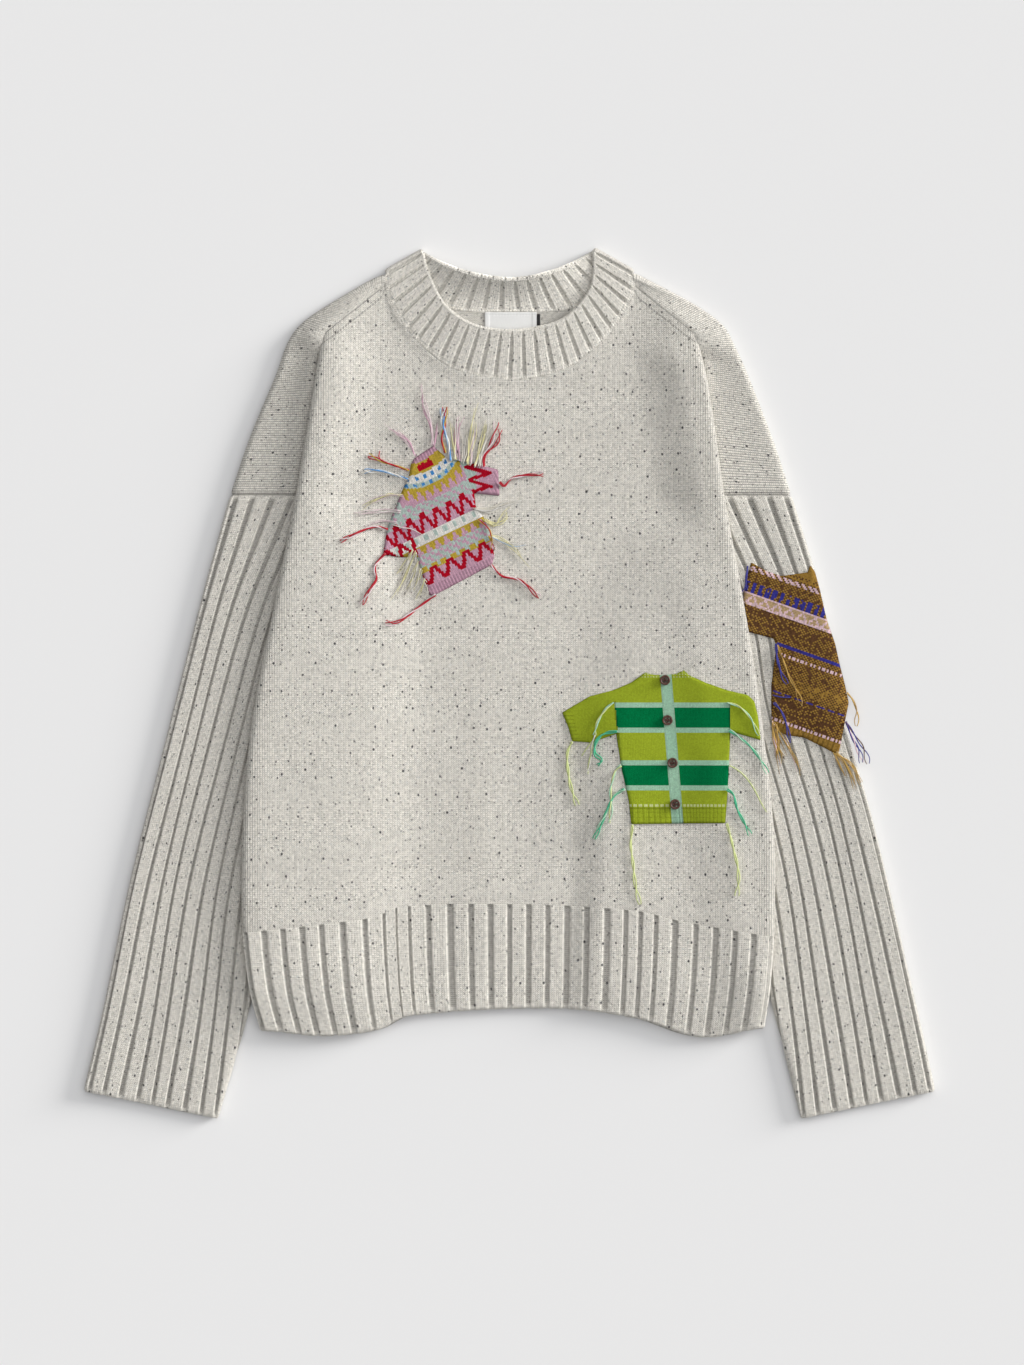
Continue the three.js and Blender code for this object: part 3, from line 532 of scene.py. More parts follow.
class Shade:
    """One material under construction."""

    def __init__(self, name, roughness=0.9, sheen=0.0, specular=0.3):
        self.material = bpy.data.materials.new(name)
        self.material.use_nodes = True
        self.tree = self.material.node_tree
        self.surface = self.tree.nodes["Principled BSDF"]
        self.surface.inputs["Roughness"].default_value = roughness
        self.surface.inputs["Specular IOR Level"].default_value = specular
        self.surface.inputs["Sheen Weight"].default_value = sheen
        self.surface.inputs["Sheen Roughness"].default_value = 0.6

    def node(self, kind):
        return self.tree.nodes.new(kind)

    def join(self, value, socket):
        if isinstance(value, Field):
            value = value.socket
        if isinstance(value, bpy.types.NodeSocket):
            self.tree.links.new(value, socket)
        elif isinstance(value, tuple):
            socket.default_value = (*value, 1)[:len(socket.default_value)]
        else:
            socket.default_value = value

    def math(self, operation, *values):
        node = self.node("ShaderNodeMath")
        node.operation = operation
        for value, socket in zip(values, node.inputs):
            self.join(value, socket)
        return Field(self, node.outputs[0])

    def attribute(self, name, output="Fac"):
        node = self.node("ShaderNodeAttribute")
        node.attribute_name = name
        return Field(self, node.outputs[output])

    def knit(self):
        """Wale and course numbers."""
        node = self.node("ShaderNodeUVMap")
        node.uv_map = "knit"
        split = self.node("ShaderNodeSeparateXYZ")
        self.join(node.outputs["UV"], split.inputs[0])
        return Field(self, split.outputs["X"]), Field(self, split.outputs["Y"])

    def vector(self, x, y, z=0.0):
        node = self.node("ShaderNodeCombineXYZ")
        for value, socket in zip((x, y, z), node.inputs):
            self.join(value, socket)
        return node.outputs[0]

    def noise(self, vector, scale=1.0, detail=2.0, roughness=0.6):
        node = self.node("ShaderNodeTexNoise")
        node.noise_dimensions = "3D"
        self.join(vector, node.inputs["Vector"])
        for name, value in (("Scale", scale), ("Detail", detail), ("Roughness", roughness)):
            node.inputs[name].default_value = value
        return Field(self, node.outputs["Fac"])

    def white(self, vector):
        """An even random number for each place."""
        node = self.node("ShaderNodeTexWhiteNoise")
        node.noise_dimensions = "3D"
        self.join(vector, node.inputs["Vector"])
        return Field(self, node.outputs["Value"])

    def dots(self, vector, small, large, share, soft=0.25):
        """Scattered dots, one in each unit cell that the share lets through."""
        node = self.node("ShaderNodeTexVoronoi")
        node.voronoi_dimensions = "2D"
        self.join(vector, node.inputs["Vector"])
        node.inputs["Scale"].default_value = 1.0
        split = self.node("ShaderNodeSeparateXYZ")
        self.join(node.outputs["Color"], split.inputs[0])
        pick, size = Field(self, split.outputs["X"]), Field(self, split.outputs["Y"])
        reach = small + size * (large - small)
        there = self.math("LESS_THAN", pick, share)
        return (1 - Field(self, node.outputs["Distance"]).between(reach * (1 - soft), reach)) * there

    def mix(self, share, a, b):
        node = self.node("ShaderNodeMix")
        node.data_type = "RGBA"
        colours = [s for s in node.inputs if s.type == "RGBA"]
        self.join(share, node.inputs["Factor"])
        self.join(a, colours[0])
        self.join(b, colours[1])
        return [s for s in node.outputs if s.type == "RGBA"][0]

    def scaled(self, colour, factor):
        node = self.node("ShaderNodeVectorMath")
        node.operation = "SCALE"
        self.join(colour, node.inputs[0])
        self.join(factor, node.inputs["Scale"])
        return node.outputs[0]

    def finish(self, colour, height=None, distance=0.0006, strength=1.0):
        self.join(colour, self.surface.inputs["Base Color"])
        if height is not None:
            bump = self.node("ShaderNodeBump")
            bump.inputs["Distance"].default_value = distance
            bump.inputs["Strength"].default_value = strength
            self.join(height, bump.inputs["Height"])
            self.join(bump.outputs[0], self.surface.inputs["Normal"])
        return self.material


def stitches(wale, course, purl=None):
    """Height of knit stitches, and of purl ones where purl is 1, from 0 to 1."""
    off = ((wale.do("FRACT") - 0.5) * 2).do("ABSOLUTE")
    leg = ((course - off * 0.8).do("FRACT") * math.pi).do("SINE")
    aside = (off - 0.42) / 0.58
    knit = leg.power(0.75) * (1 - aside.do("MULTIPLY", aside) * 0.9)
    if purl is None:
        return knit
    bumps = ((course + (wale * (2 * math.pi)).do("COSINE") * 0.2) * math.pi).do("SINE").do("ABSOLUTE")
    return knit * (1 - purl) + bumps * 0.8 * purl


def srgb(code):
    parts = [int(code[k:k + 2], 16) / 255 for k in (0, 2, 4)]
    return tuple(c / 12.92 if c <= 0.04045 else ((c + 0.055) / 1.055) ** 2.4 for c in parts)


WOOL = srgb("f4f0e7")
WOOL_DARK = srgb("cfc9bc")
WOOL_COOL = srgb("c3cbcc")
WOOL_GREEN = srgb("c9cdb6")
NEP = srgb("353436")
NEP_SOFT = srgb("66635f")


def wool_material():
    s = Shade("wool", 0.92, 0.12, 0.2)
    wale, course = s.knit()
    purl, tone = s.attribute("purl"), s.attribute("tone")
    height = stitches(wale, course, purl)
    x, y = wale * WALE, course * COURSE
    each = s.white(s.vector(wale.do("FLOOR"), (course + 0.3).do("FLOOR")))
    fibre = s.noise(s.vector(x * 0.45, y * 0.9), 1.0, 3.0)
    cool = s.noise(s.vector(x * 0.35, y * 0.6, 7.0), 1.0, 2.0).between(0.58, 0.72)
    green = s.noise(s.vector(x * 0.3, y * 0.5, 19.0), 1.0, 2.0).between(0.60, 0.74)
    cloud = s.noise(s.vector(x * 0.02, y * 0.02, 3.0), 1.0, 2.0)
    colour = s.mix(fibre.between(0.40, 0.66) * 0.6, WOOL, WOOL_DARK)
    colour = s.mix(cool * 0.5, colour, WOOL_COOL)
    colour = s.mix(green * 0.4, colour, WOOL_GREEN)
    # The row of fashioning marks along the shoulder, 6 mm in from the seam.
    near, run = s.attribute("seam"), s.attribute("run")
    mark = (1 - ((near - 4).do("ABSOLUTE")).between(0.25, 1.0)) * ((run * 2.3).do("SINE") * 0.5 + 0.6)
    # A strip of painted shade along the shoulder seam itself.
    edge = near.between(8.8, 9.8)
    # Painted shade: darker where the stitches' relief is low, and by the painted shade attribute, which is
    # painted light below 0. each and cloud are the wool's own random tone.
    shade = (0.445 + 0.58 * height) * (0.87 + 0.26 * each) * (1 - tone * 0.5) * (0.96 + 0.08 * cloud)
    # Where the cloth is stretched over a fold its wales part into cords, with painted shade in the gaps
    # between them.
    aside = (wale.do("FRACT") - 0.5) * 2
    shade = shade * (1.08 - s.attribute("cord_gap_shade") * (aside * aside) * 0.55)
    shade = shade * (1 - 0.5 * mark) * (1 - 0.45 * edge)
    colour = s.scaled(colour, shade)
    # Dark neps: their places are pushed about by noise, so that none of them is round.
    nudge = (s.noise(s.vector(x * 0.9, y * 0.9, 5.0), 1.0, 2.0) - 0.5) * 0.8
    across, up = x + nudge, y - nudge * 0.7
    large = s.dots(s.vector(across / 13, up / 17), 0.042, 0.075, 0.85)
    small = s.dots(s.vector(across / 6.1 + 5.3, up / 7.7 + 2.1), 0.06, 0.11, 0.8)
    dust = s.dots(s.vector(across / 3.6 + 1.7, up / 4.3 + 8.1), 0.08, 0.16, 0.7)
    colour = s.mix(dust * 0.5, colour, NEP_SOFT)
    colour = s.mix(small * 0.9, colour, NEP_SOFT)
    colour = s.mix(large * 0.95, colour, NEP)
    fuzz = s.noise(s.vector(x * 3, y * 3, 1.0), 1.0, 2.0)
    return s.finish(colour, height + fuzz * 0.3 + large * 0.5 - mark * 0.6, 0.0006, 0.8)


def dyed_material():
    """Knitted in the colours of the attribute dye."""
    s = Shade("dyed_wool", 0.95, 0.0, 0.04)
    wale, course = s.knit()
    tone = s.attribute("tone")
    height = stitches(wale, course, s.attribute("purl"))
    fibre = s.noise(s.vector(wale * 1.3, course * 0.9), 1.0, 3.0)
    # Painted shade where the stitches' relief is low, and from the painted shade attribute; the fibre noise
    # is the yarn's own.
    shade = (0.62 + 0.38 * height) * (0.82 + 0.36 * fibre) * (1 - tone * 0.5)
    colour = s.scaled(s.attribute("dye", "Color"), shade)
    return s.finish(colour, height + fibre * 0.5, 0.0005, 0.9)


def yarn_material():
    """Two twisted plies: wale runs round the yarn and course along it, in millimetres."""
    s = Shade("yarn", 0.9, 0.2, 0.2)
    around, along = s.knit()
    twist = ((along * 0.8 + around * 2) * math.pi).do("SINE").do("ABSOLUTE")
    fibre = s.noise(s.vector(around * 4, along * 2.0), 1.0, 3.0)
    # The grooves between the twisted plies are painted darker as shade.
    colour = s.scaled(s.attribute("dye", "Color"), (0.7 + 0.3 * twist) * (0.85 + 0.3 * fibre))
    return s.finish(colour, twist + fibre * 0.4, 0.0003, 0.8)


def woven_material(name, colour, dark):
    s = Shade(name, 0.6, 0.05, 0.35)
    x, y = s.knit()
    weave = ((x * math.pi).do("SINE") * (y * math.pi).do("SINE")).do("ABSOLUTE")
    fibre = s.noise(s.vector(x, y * 0.4), 1.0, 2.0)
    tinted = s.mix(fibre.between(0.3, 0.8) * 0.6, colour, dark)
    # The weave's low places are painted darker as shade.
    return s.finish(s.scaled(tinted, 0.9 + 0.1 * weave), weave + fibre * 0.4, 0.00012, 0.7)


def button_material():
    s = Shade("button", 0.34, 0.0, 0.5)
    x, y = s.knit()
    grain = s.noise(s.vector(x * 0.5, y * 2.6), 1.0, 4.0)
    cloud = s.noise(s.vector(x * 0.35, y * 0.35, 4.0), 1.0, 2.0)
    colour = s.mix(grain.between(0.35, 0.65), srgb("5a3526"), srgb("3a2018"))
    colour = s.mix(cloud.between(0.45, 0.7) * 0.5, colour, srgb("7d5440"))
    # Painted shade in the dish and the holes, from the shading attribute.
    colour = s.scaled(colour, 1 - s.attribute("tone") * 0.6)
    return s.finish(colour, grain, 0.00008, 0.6)


def floor_material():
    s = Shade("floor", 0.85, 0.0, 0.2)
    place = s.node("ShaderNodeTexCoord").outputs["Object"]
    speck = s.noise(place, 60.0, 3.0)
    return s.finish(s.mix(speck * 0.04, (0.79, 0.79, 0.79), (0.76, 0.76, 0.76)))


MATERIALS = dict(wool=wool_material(), dyed=dyed_material(), yarn=yarn_material(),
                 label=woven_material("label", srgb("eeeeec"), srgb("d9d9d8")),
                 tab=woven_material("tab", srgb("161616"), srgb("262626")),
                 button=button_material())

# ---------------------------------------------------------------- body

SHOULDER_SLANT = 0.78  # cosine of the shoulder seam's slope


def front_points(q, lower, upper, v):
    """The front over rows v and columns q: up to 1 is its top, to 2 a side fold, to 3 the lip."""
    reach = np.abs(q)
    y = lerp(lower(q), upper(q), v[:, None])
    side = np.broadcast_to(np.where(q < 0, -1.0, 1.0), y.shape)
    edge = by_side(side, "body_at", y)
    low = lip_height(y)
    x_top = np.minimum(reach, 1) * (edge - FOLD_RADIUS)
    angle = np.pi / 2 - np.pi * np.clip(reach - 1, 0, 1)
    folded = reach > 1
    x = np.where(folded, edge - FOLD_RADIUS + FOLD_RADIUS * np.cos(angle), x_top)
    x = x - FOLD_RADIUS * np.clip(reach - 2, 0, 1)
    z = np.where(folded, low + FOLD_RADIUS * (1 + np.sin(angle)), front_height(side * x_top, y))
    grid = np.stack([side * x, y, z], -1)
    arc = FOLD_RADIUS * np.pi * np.clip(reach - 1, 0, 1) + FOLD_RADIUS * np.clip(reach - 2, 0, 1)
    knit = np.stack([side * (x_top + arc) / WALE, y / COURSE], -1)
    return grid, knit


def graded(parts):
    """Column positions from (end, steps) runs that start at the last end."""
    line, at = [parts[0][0]], parts[0][0]
    for end, steps in parts[1:]:
        line += list(np.linspace(at, end, steps + 1)[1:])
        at = end
    return np.array(line)


def front_panel():
    piece = Piece("front_panel_cloth")
    q = graded([(-3,), (-2, 2), (-1, 10), (1, 168), (2, 10), (3, 2)])
    v = 1 - (1 - np.linspace(0, 1, 127)) ** 1.15
    grid, knit = front_points(q, seam_over, front_top_over, v)
    y = grid[..., 1]
    top_off = front_top_over(q) - y
    shoulder = smooth(shoulder_reach(q), NECK_HALF - 4, NECK_HALF + 4) * (np.abs(q) < 1.3)
    blouse = 0.4 * np.exp(-((y - seam_over(q) - 5) / 5) ** 2)
    dent = np.exp(-((top_off / 1.6) ** 2))
    height = blouse - 0.2 * dent + np.exp(-((top_off / 5) ** 2)) * (np.abs(q) < 1.2) * (1 - shoulder)
    # Painted shade in the dent along the neck seam.
    tone = 0.1 * dent * (1 - shoulder)
    shell(piece, grid, height, knit, (6, 6), tone=tone, crisp=("first", "last"))
    front = piece.build("wool_knit", MATERIALS["wool"])
    seam_off = top_off * SHOULDER_SLANT
    near = np.where(np.abs(q) < 1.3, np.maximum(10 - seam_off, 0), 0) * shoulder
    add_attribute(front, "seam", near)
    add_attribute(front, "run", np.abs(grid[..., 0]) / SHOULDER_SLANT)
    inset = by_side(grid[..., 0], "body_at", y) - np.abs(grid[..., 0])
    # How strongly the gaps between wales near the side folds are painted as shade.
    add_attribute(front, "cord_gap_shade", 0.8 * (1 - smooth(inset, 3, 22)))
    return front


def add_attribute(piece, name, values, first=0):
    """Values for some points of a piece from the first on, and 0 for the rest."""
    data = np.zeros(len(piece.data.vertices), np.float32)
    if name in piece.data.attributes:
        piece.data.attributes[name].data.foreach_get("value", data)
        piece.data.attributes.remove(piece.data.attributes[name])
    data[first:first + values.size] = values.ravel()
    piece.data.attributes.new(name, "FLOAT", "POINT").data.foreach_set("value", data)


RIB_STEPS = [0, 0.05, 0.09, 0.13, 0.18, 0.25, 0.375, 0.5, 0.625, 0.75, 0.82, 0.87, 0.91, 0.95]


def rib_phases(count, steps=RIB_STEPS):
    """Phases of a row's columns over a whole number of ribs, close together near each groove."""
    return np.append((np.arange(count)[:, None] + np.array(steps)).ravel(), count)


def at_phases(points, position, phases, period):
    """Positions along a cross-section at rib phases, the middle of which is its own middle."""
    along = lengths(points)
    return np.interp(phases * period, along - along[-1] / 2 + phases[-1] * period / 2, position)


HEM_ROWS = graded([(0,), (0.03, 3), (0.08, 2), (0.92, 14), (0.97, 2), (1, 3)])
HEM_PERIOD = 15.0


HEM_GROOVE, HEM_DEPTH = 4.0, 1.35


def hem_height(grid, knit_phase, y_low, y_top, width=HEM_GROOVE):
    """Ribs that start at the seam and end in a cast-off edge."""
    y = grid[..., 1]
    from_edge, from_seam = y - y_low, y_top - y
    ripple = 1 + 0.22 * np.sin(knit_phase * 5.1) * np.sin(knit_phase * 1.9 + 1)
    height, inside, proud = groove(knit_phase, HEM_PERIOD, width * ripple, HEM_DEPTH)
    open_ = smooth(from_edge, 0.5, 4) * smooth(from_seam, -0.2, 1.6)
    # The cast-off edge rolls down, and each groove starts in a small pit under the body, darkened by painted
    # shade.
    roll = -1.3 * (1 - smooth(from_edge, -0.5, 2.0)) + 0.35 * np.exp(-(((from_edge - 2) / 1.2) ** 2))
    pit = inside * np.exp(-(((from_seam - 1.6) / 1.4) ** 2))
    # Painted shade in the grooves and the pits, and painted highlight on the stitches beside each groove.
    tone = 0.68 * inside * (0.25 + 0.75 * open_) + 0.3 * pit - 0.2 * proud
    return height * open_ + roll - 0.5 * pit, inside * (0.3 + 0.7 * open_), tone


def front_hem():
    piece = Piece("front_hem_rib_cloth")
    fine = graded([(-3,), (-2, 6), (-1, 30), (1, 900), (2, 30), (3, 6)])
    section, _ = front_points(fine, hem_over, seam_over, np.array([0.5]))
    count = int(lengths(section[0])[-1] / HEM_PERIOD)
    phases = rib_phases(count)
    q = at_phases(section[0], fine, phases, HEM_PERIOD)
    # Where the front sags, its ribs lie closer together.
    for middle, pull in ((-0.43, 0.39), (0.5, 0.25)):
        q = q - pull * (q - middle) * np.exp(-0.5 * ((q - middle) / 0.1) ** 2)
    grid, _ = front_points(q, hem_over, seam_over, HEM_ROWS)
    width = HEM_GROOVE * (1 - 0.5 * np.exp(-(((grid[..., 0] + 88) / 22) ** 2)))
    height, inside, tone = hem_height(grid, phases[None, :], hem_over(q), seam_over(q), width)
    lowest = 1 - smooth(grid[..., 1] - hem_over(q), 0, 8)
    grid[..., 1] += lowest * (1.3 * inside - 0.5)
    knit = np.stack(np.broadcast_arrays(phases[None, :] * 8, grid[..., 1] / COURSE), -1)
    shell(piece, grid, height, knit, (4, 7), tone=tone, purl=inside, crisp=("last",))
    return piece.build("wool_rib", MATERIALS["wool"])


def back_points(u, lower, upper, v):
    y = lerp(lower(u), upper(u), v[:, None])
    side = np.broadcast_to(u, y.shape)
    edge = by_side(side, "body_at", np.minimum(y, ARMHOLE_Y))
    x = u * (edge - BACK_EDGE_INSET - 5 * smooth(y, 60, ARMHOLE_Y))
    z = back_edge_height(y) * lift_share(side, y, edge - np.abs(x))
    return np.stack([x, y, z], -1)


def back_hem():
    piece = Piece("back_hem_rib_cloth")
    fine = np.linspace(1, -1, 800)
    section = back_points(fine, hem_over, seam_over, np.array([0.5]))
    count = int(lengths(section[0])[-1] / HEM_PERIOD)
    phases = rib_phases(count)
    u = at_phases(section[0], fine, phases, HEM_PERIOD)
    grid = back_points(u, hem_over, seam_over, HEM_ROWS)
    height, inside, tone = hem_height(grid, phases[None, :], hem_over(u), seam_over(u))
    knit = np.stack(np.broadcast_arrays(phases[None, :] * 8, grid[..., 1] / COURSE), -1)
    shell(piece, grid, height, knit, (4, 7), tone=tone, purl=inside, crisp=("last",))
    return piece.build("wool_rib", MATERIALS["wool"])


CAP_ROWS, UNDER_STEPS, FOLD_STEPS, TOP_STEPS = 140, 8, 12, 18


def cap_points(side):
    """The shoulder piece: rows along its fold, columns from under the fold round to the seam."""
    form = SIDES[side]
    t = np.linspace(0, 1, CAP_ROWS + 1)
    fold = spline(form["fold"], t)
    beside = [(form["body_at"](y) + off, y) for y, off in CAP_BESIDE_FOLD]
    top, under = spline(CAP_SEAM + beside, t), spline(CAP_UNDER, t)
    seam_z = lerp(FRONT_TOP, front_height(side * top[:, 0], top[:, 1]), smooth(top[:, 1], 257, 276))
    radius = EDGE_HEIGHT / 2
    width = np.linalg.norm(top - fold, axis=1)
    inward = (top - fold) / width[:, None]
    # The cloth reaches on to the front's edge, and round the corner under its fold.
    reach_on = 2 * smooth(top[:, 1], 255, 262) + 2.6 * np.exp(-(((top[:, 1] - 271) / 10) ** 2))
    line = []
    low = fold + inward * radius
    for k in range(UNDER_STEPS):
        line.append(np.column_stack([lerp(under, low, k / UNDER_STEPS), np.zeros(len(t))]))
    for k in range(FOLD_STEPS):
        angle = -np.pi / 2 + np.pi * k / FOLD_STEPS
        place = fold + inward * (radius - radius * np.cos(angle))
        line.append(np.column_stack([place, np.full(len(t), radius * (1 + np.sin(angle)))]))
    for k in range(TOP_STEPS + 1):
        share = k / TOP_STEPS
        place = fold + inward * (lerp(radius, width, share) + reach_on * smooth(share, 0.7, 1))[:, None]
        line.append(np.column_stack([place, lerp(EDGE_HEIGHT, seam_z, 1 - (1 - share) ** 1.74)]))
    grid = np.stack(line, 1)
    along = lengths(np.column_stack([fold, np.zeros(len(t))]))
    across = np.concatenate([np.zeros((len(t), 1)),
                             np.cumsum(np.linalg.norm(np.diff(grid, axis=1), axis=2), 1)], 1)
    across = across - across[:, -1:]
    knit = np.stack(np.broadcast_arrays(along[:, None] / WALE, across / COURSE), -1)
    seam_off, hole_off = -across, (along[-1] - along)[:, None] + 0 * across
    grid[..., 0] -= 1.9 * (1 - smooth(t, 0, 0.035))[:, None]
    grid[..., 0] *= side
    if side < 0:
        grid, knit, seam_off, hole_off = (a[:, ::-1] for a in (grid, knit, seam_off, hole_off))
    return grid, knit, seam_off, hole_off


def back_panel():
    piece = Piece("back_panel_cloth")
    u, v = np.linspace(1, -1, 97), np.linspace(0, 1, 97)
    grid = back_points(u, seam_over, back_top_over, v)
    knit = grid[..., :2] / np.array([-WALE, COURSE])
    shell(piece, grid, np.zeros(grid.shape[:2]), knit, (4, 4), rect=(0.005, 0.005, 0.62, 0.70),
          inside=(0.005, 0.71, 0.62, 0.995), inner_tone=0.35, crisp=("first",),
          edges=[(0.63 + 0.09 * k, 0.97, 0.71 + 0.09 * k, 0.99) for k in range(4)])
    cords = []
    for k, side in enumerate((-1, 1)):
        grid, knit, seam_off, hole_off = cap_points(side)
        # How strongly the gaps between the shoulder piece's wales are painted as shade.
        cords.append((smooth(seam_off, 3, 14), piece.count))
        level = smooth(grid[..., 1], 250, 275)
        seam = np.exp(-((seam_off / 1.8) ** 2)) * lerp(1, 0.15, level)
        height = -1.2 * seam - 1.3 * np.exp(-((hole_off / 1.8) ** 2))
        height -= 0.5 * np.exp(-((seam_off / 1.1) ** 2)) * smooth(grid[..., 1], 255, 262)
        height = np.where(grid[..., 2] < 0.5, 0, height)
        # Painted shade along the shoulder seam and the armhole seam, and painted light on the right shoulder
        # piece, which faces the light.
        tone = 0.5 * seam + 0.8 * np.exp(-((hole_off / 1.2) ** 2)) - 0.25 * (side > 0)
        low = 0.01 + 0.48 * k
        shell(piece, grid, height, knit, (4, 19), tone=np.minimum(tone, 1), inner_tone=0.6,
              crisp=("first", "last", "left", "right"),
              rect=(0.63, low, 0.90, low + 0.46), inside=(0.91, low, 0.97, low + 0.3),
              edges=[(0.91, low + 0.31 + 0.03 * n, 0.99, low + 0.33 + 0.03 * n) for n in range(4)])
    back = piece.build("wool_knit", MATERIALS["wool"])
    for cord_gap_shade, first in cords:
        add_attribute(back, "cord_gap_shade", cord_gap_shade, first)
    return back


# ---------------------------------------------------------------- sleeves

SLEEVE_PERIOD = smooth_through([(-330, 13.0), (-250, 12.0), (-142, 10.9), (0, 10.9), (66, 11.6),
                                (120, 13.6), (150, 14.8)])
SLEEVE_GROOVE = smooth_through([(-330, 3.2), (-250, 2.4), (-142, 2.0), (0, 2.0), (66, 2.6),
                                (120, 3.9), (150, 4.6)])
INNER_R, OUTER_R = FRONT_TOP / 2, EDGE_HEIGHT / 2
UNDER_SEAM = 12.0  # how far in from the inner edge the underarm seam lies, underneath


def sleeve_section(width, s):
    """Distance from the outer edge and height at an arc length from the outermost point, over
    the top where s is positive and underneath where it is negative."""
    quarter = OUTER_R * np.pi / 2
    angle = np.clip(np.abs(s) / OUTER_R, 0, np.pi / 2)
    flat = width - OUTER_R - INNER_R
    run = np.clip(np.abs(s) - quarter, 0, flat)
    turn = np.clip((s - quarter - flat) / INNER_R, 0, np.pi)
    after = np.maximum(s - quarter - flat - np.pi * INNER_R, 0)
    d = OUTER_R * (1 - np.cos(angle)) + run + INNER_R * np.sin(turn) - after
    over = OUTER_R * (1 + np.sin(angle)) - (EDGE_HEIGHT - FRONT_TOP) * smooth(run, 0, 40)
    over = np.where(turn > 0, INNER_R * (1 + np.cos(turn)), over)
    return d, np.where(s < 0, OUTER_R * (1 - np.sin(angle)), over)


SLEEVE_LENGTH = 486


def sleeve(side):
    name = "sleeve_left" if side < 0 else "sleeve_right"
    piece = Piece(name + "_cloth")
    form = SIDES[side]
    t = graded([(0,), (0.004, 2), (0.012, 2), (0.985, 76), (0.994, 2), (1, 2)])
    outer_y, inner_y = lerp(-326, 149.9, t), lerp(-348, 149.9, t)
    outer = np.column_stack([form["outer_at"](outer_y), outer_y])
    inner = np.column_stack([form["inner_at"](inner_y), inner_y])
    width = np.linalg.norm(outer - inner, axis=1)
    period, gap = SLEEVE_PERIOD(outer_y), SLEEVE_GROOVE(outer_y)
    quarter = OUTER_R * np.pi / 2
    ends = {1: quarter + width - OUTER_R - INNER_R + np.pi * INNER_R + UNDER_SEAM,
            -1: quarter + width - OUTER_R - INNER_R - UNDER_SEAM}
    from_cuff, from_top = t * SLEEVE_LENGTH, (1 - t) * SLEEVE_LENGTH
    steps = np.array(RIB_STEPS)
    phase = (np.arange(26)[:, None] + steps - 0.5).ravel()
    phase = np.concatenate([[0], phase[phase > 0.01]])
    rows = []
    for way in (1, -1):
        for i in range(len(t)):
            wander = 0.07 * np.sin(phase * 1.7 + outer_y[i] / 70) * np.minimum(phase, 1)
            s = (phase + wander) * period[i]
            keep = s < ends[way][i] - 0.4
            s, p = np.append(s[keep], ends[way][i]), np.append(phase[keep], ends[way][i] / period[i])
            d, z = sleeve_section(width[i], way * s)
            plan = outer[i] + (inner[i] - outer[i]) * (d / width[i])[:, None]
            height, inside, proud = groove(p + 0.5, period[i], gap[i], 1.7, crown=0.3)
            calm = smooth(from_cuff[i], 0.4, 4) * smooth(from_top[i], 0.5, 5)
            height = height * (0.2 + 0.8 * calm)
            height -= 1.2 * (1 - smooth(from_cuff[i], -0.5, 1.8)) + 1.2 * np.exp(-((from_top[i] / 1.6) ** 2))
            inside = inside * (0.25 + 0.75 * calm)
            seam = np.exp(-(((ends[way][i] - s) / 1.5) ** 2))
            # Painted shade in the grooves, the underarm seam and the armhole seam, painted highlight beside
            # each groove, and the whole sleeve painted lighter.
            tone = np.maximum(1.3 * inside - 0.2 * proud - 0.36, 0.7 * seam)
            tone = np.maximum(tone, 0.8 * np.exp(-((from_top[i] / 1.1) ** 2)))
            plan[:, 1] += (inside * 1.4 - 0.5) * (1 - smooth(from_cuff[i], 0, 8))
            rows.append((way, i, np.column_stack([side * plan[:, 0], plan[:, 1], z]), s, p,
                         height - 0.8 * seam, inside, tone))
    half = len(t)
    loops = []
    for i in range(half):
        over, under = rows[i], rows[half + i]
        loops.append([np.concatenate([under[k][:0:-1], over[k]]) if k > 2 else None for k in range(8)]
                     + [np.concatenate([under[2][:0:-1], over[2]]), len(under[2]) - 1])
    # Points of each row run from the seam underneath, round the outer edge and over the top.
    numbers, knits, bakes = [], [], []
    normals = row_normals([row[8] for row in loops], side)
    longest = max(ends[1].max(), ends[-1].max())
    for i, row in enumerate(loops):
        points = row[8] + normals[i] * row[5][:, None]
        first = piece.add(points, row[7], row[6])
        numbers.append(np.arange(first, first + len(points)))
        sign = np.where(np.arange(len(points)) < row[9], -1, 1)
        knits.append(np.column_stack([sign * row[4] * 8, np.full(len(points), outer_y[i] / COURSE)]))
        bakes.append(np.column_stack([0.5 + 0.49 * sign * row[3] / longest,
                                      np.full(len(points), lerp(0.01, 0.86, t[i]))]))
    zip_rows(piece, numbers, knits, bakes, [row[9] for row in loops], side > 0)
    lining(piece, loops, normals, side)
    return piece.build("wool_rib", MATERIALS["wool"])


def row_normals(rows, side):
    """Outward normals of rows that differ in their number of points: square to each row, and
    level along the sleeve."""
    result = []
    for i, row in enumerate(rows):
        across = np.gradient(row, axis=0)
        ahead, behind = rows[min(i + 1, len(rows) - 1)], rows[max(i - 1, 0)]
        along = ahead.mean(0) - behind.mean(0)
        normal = np.cross(across, along) * -side
        result.append(normal / np.maximum(np.linalg.norm(normal, axis=1, keepdims=True), 1e-9))
    return result


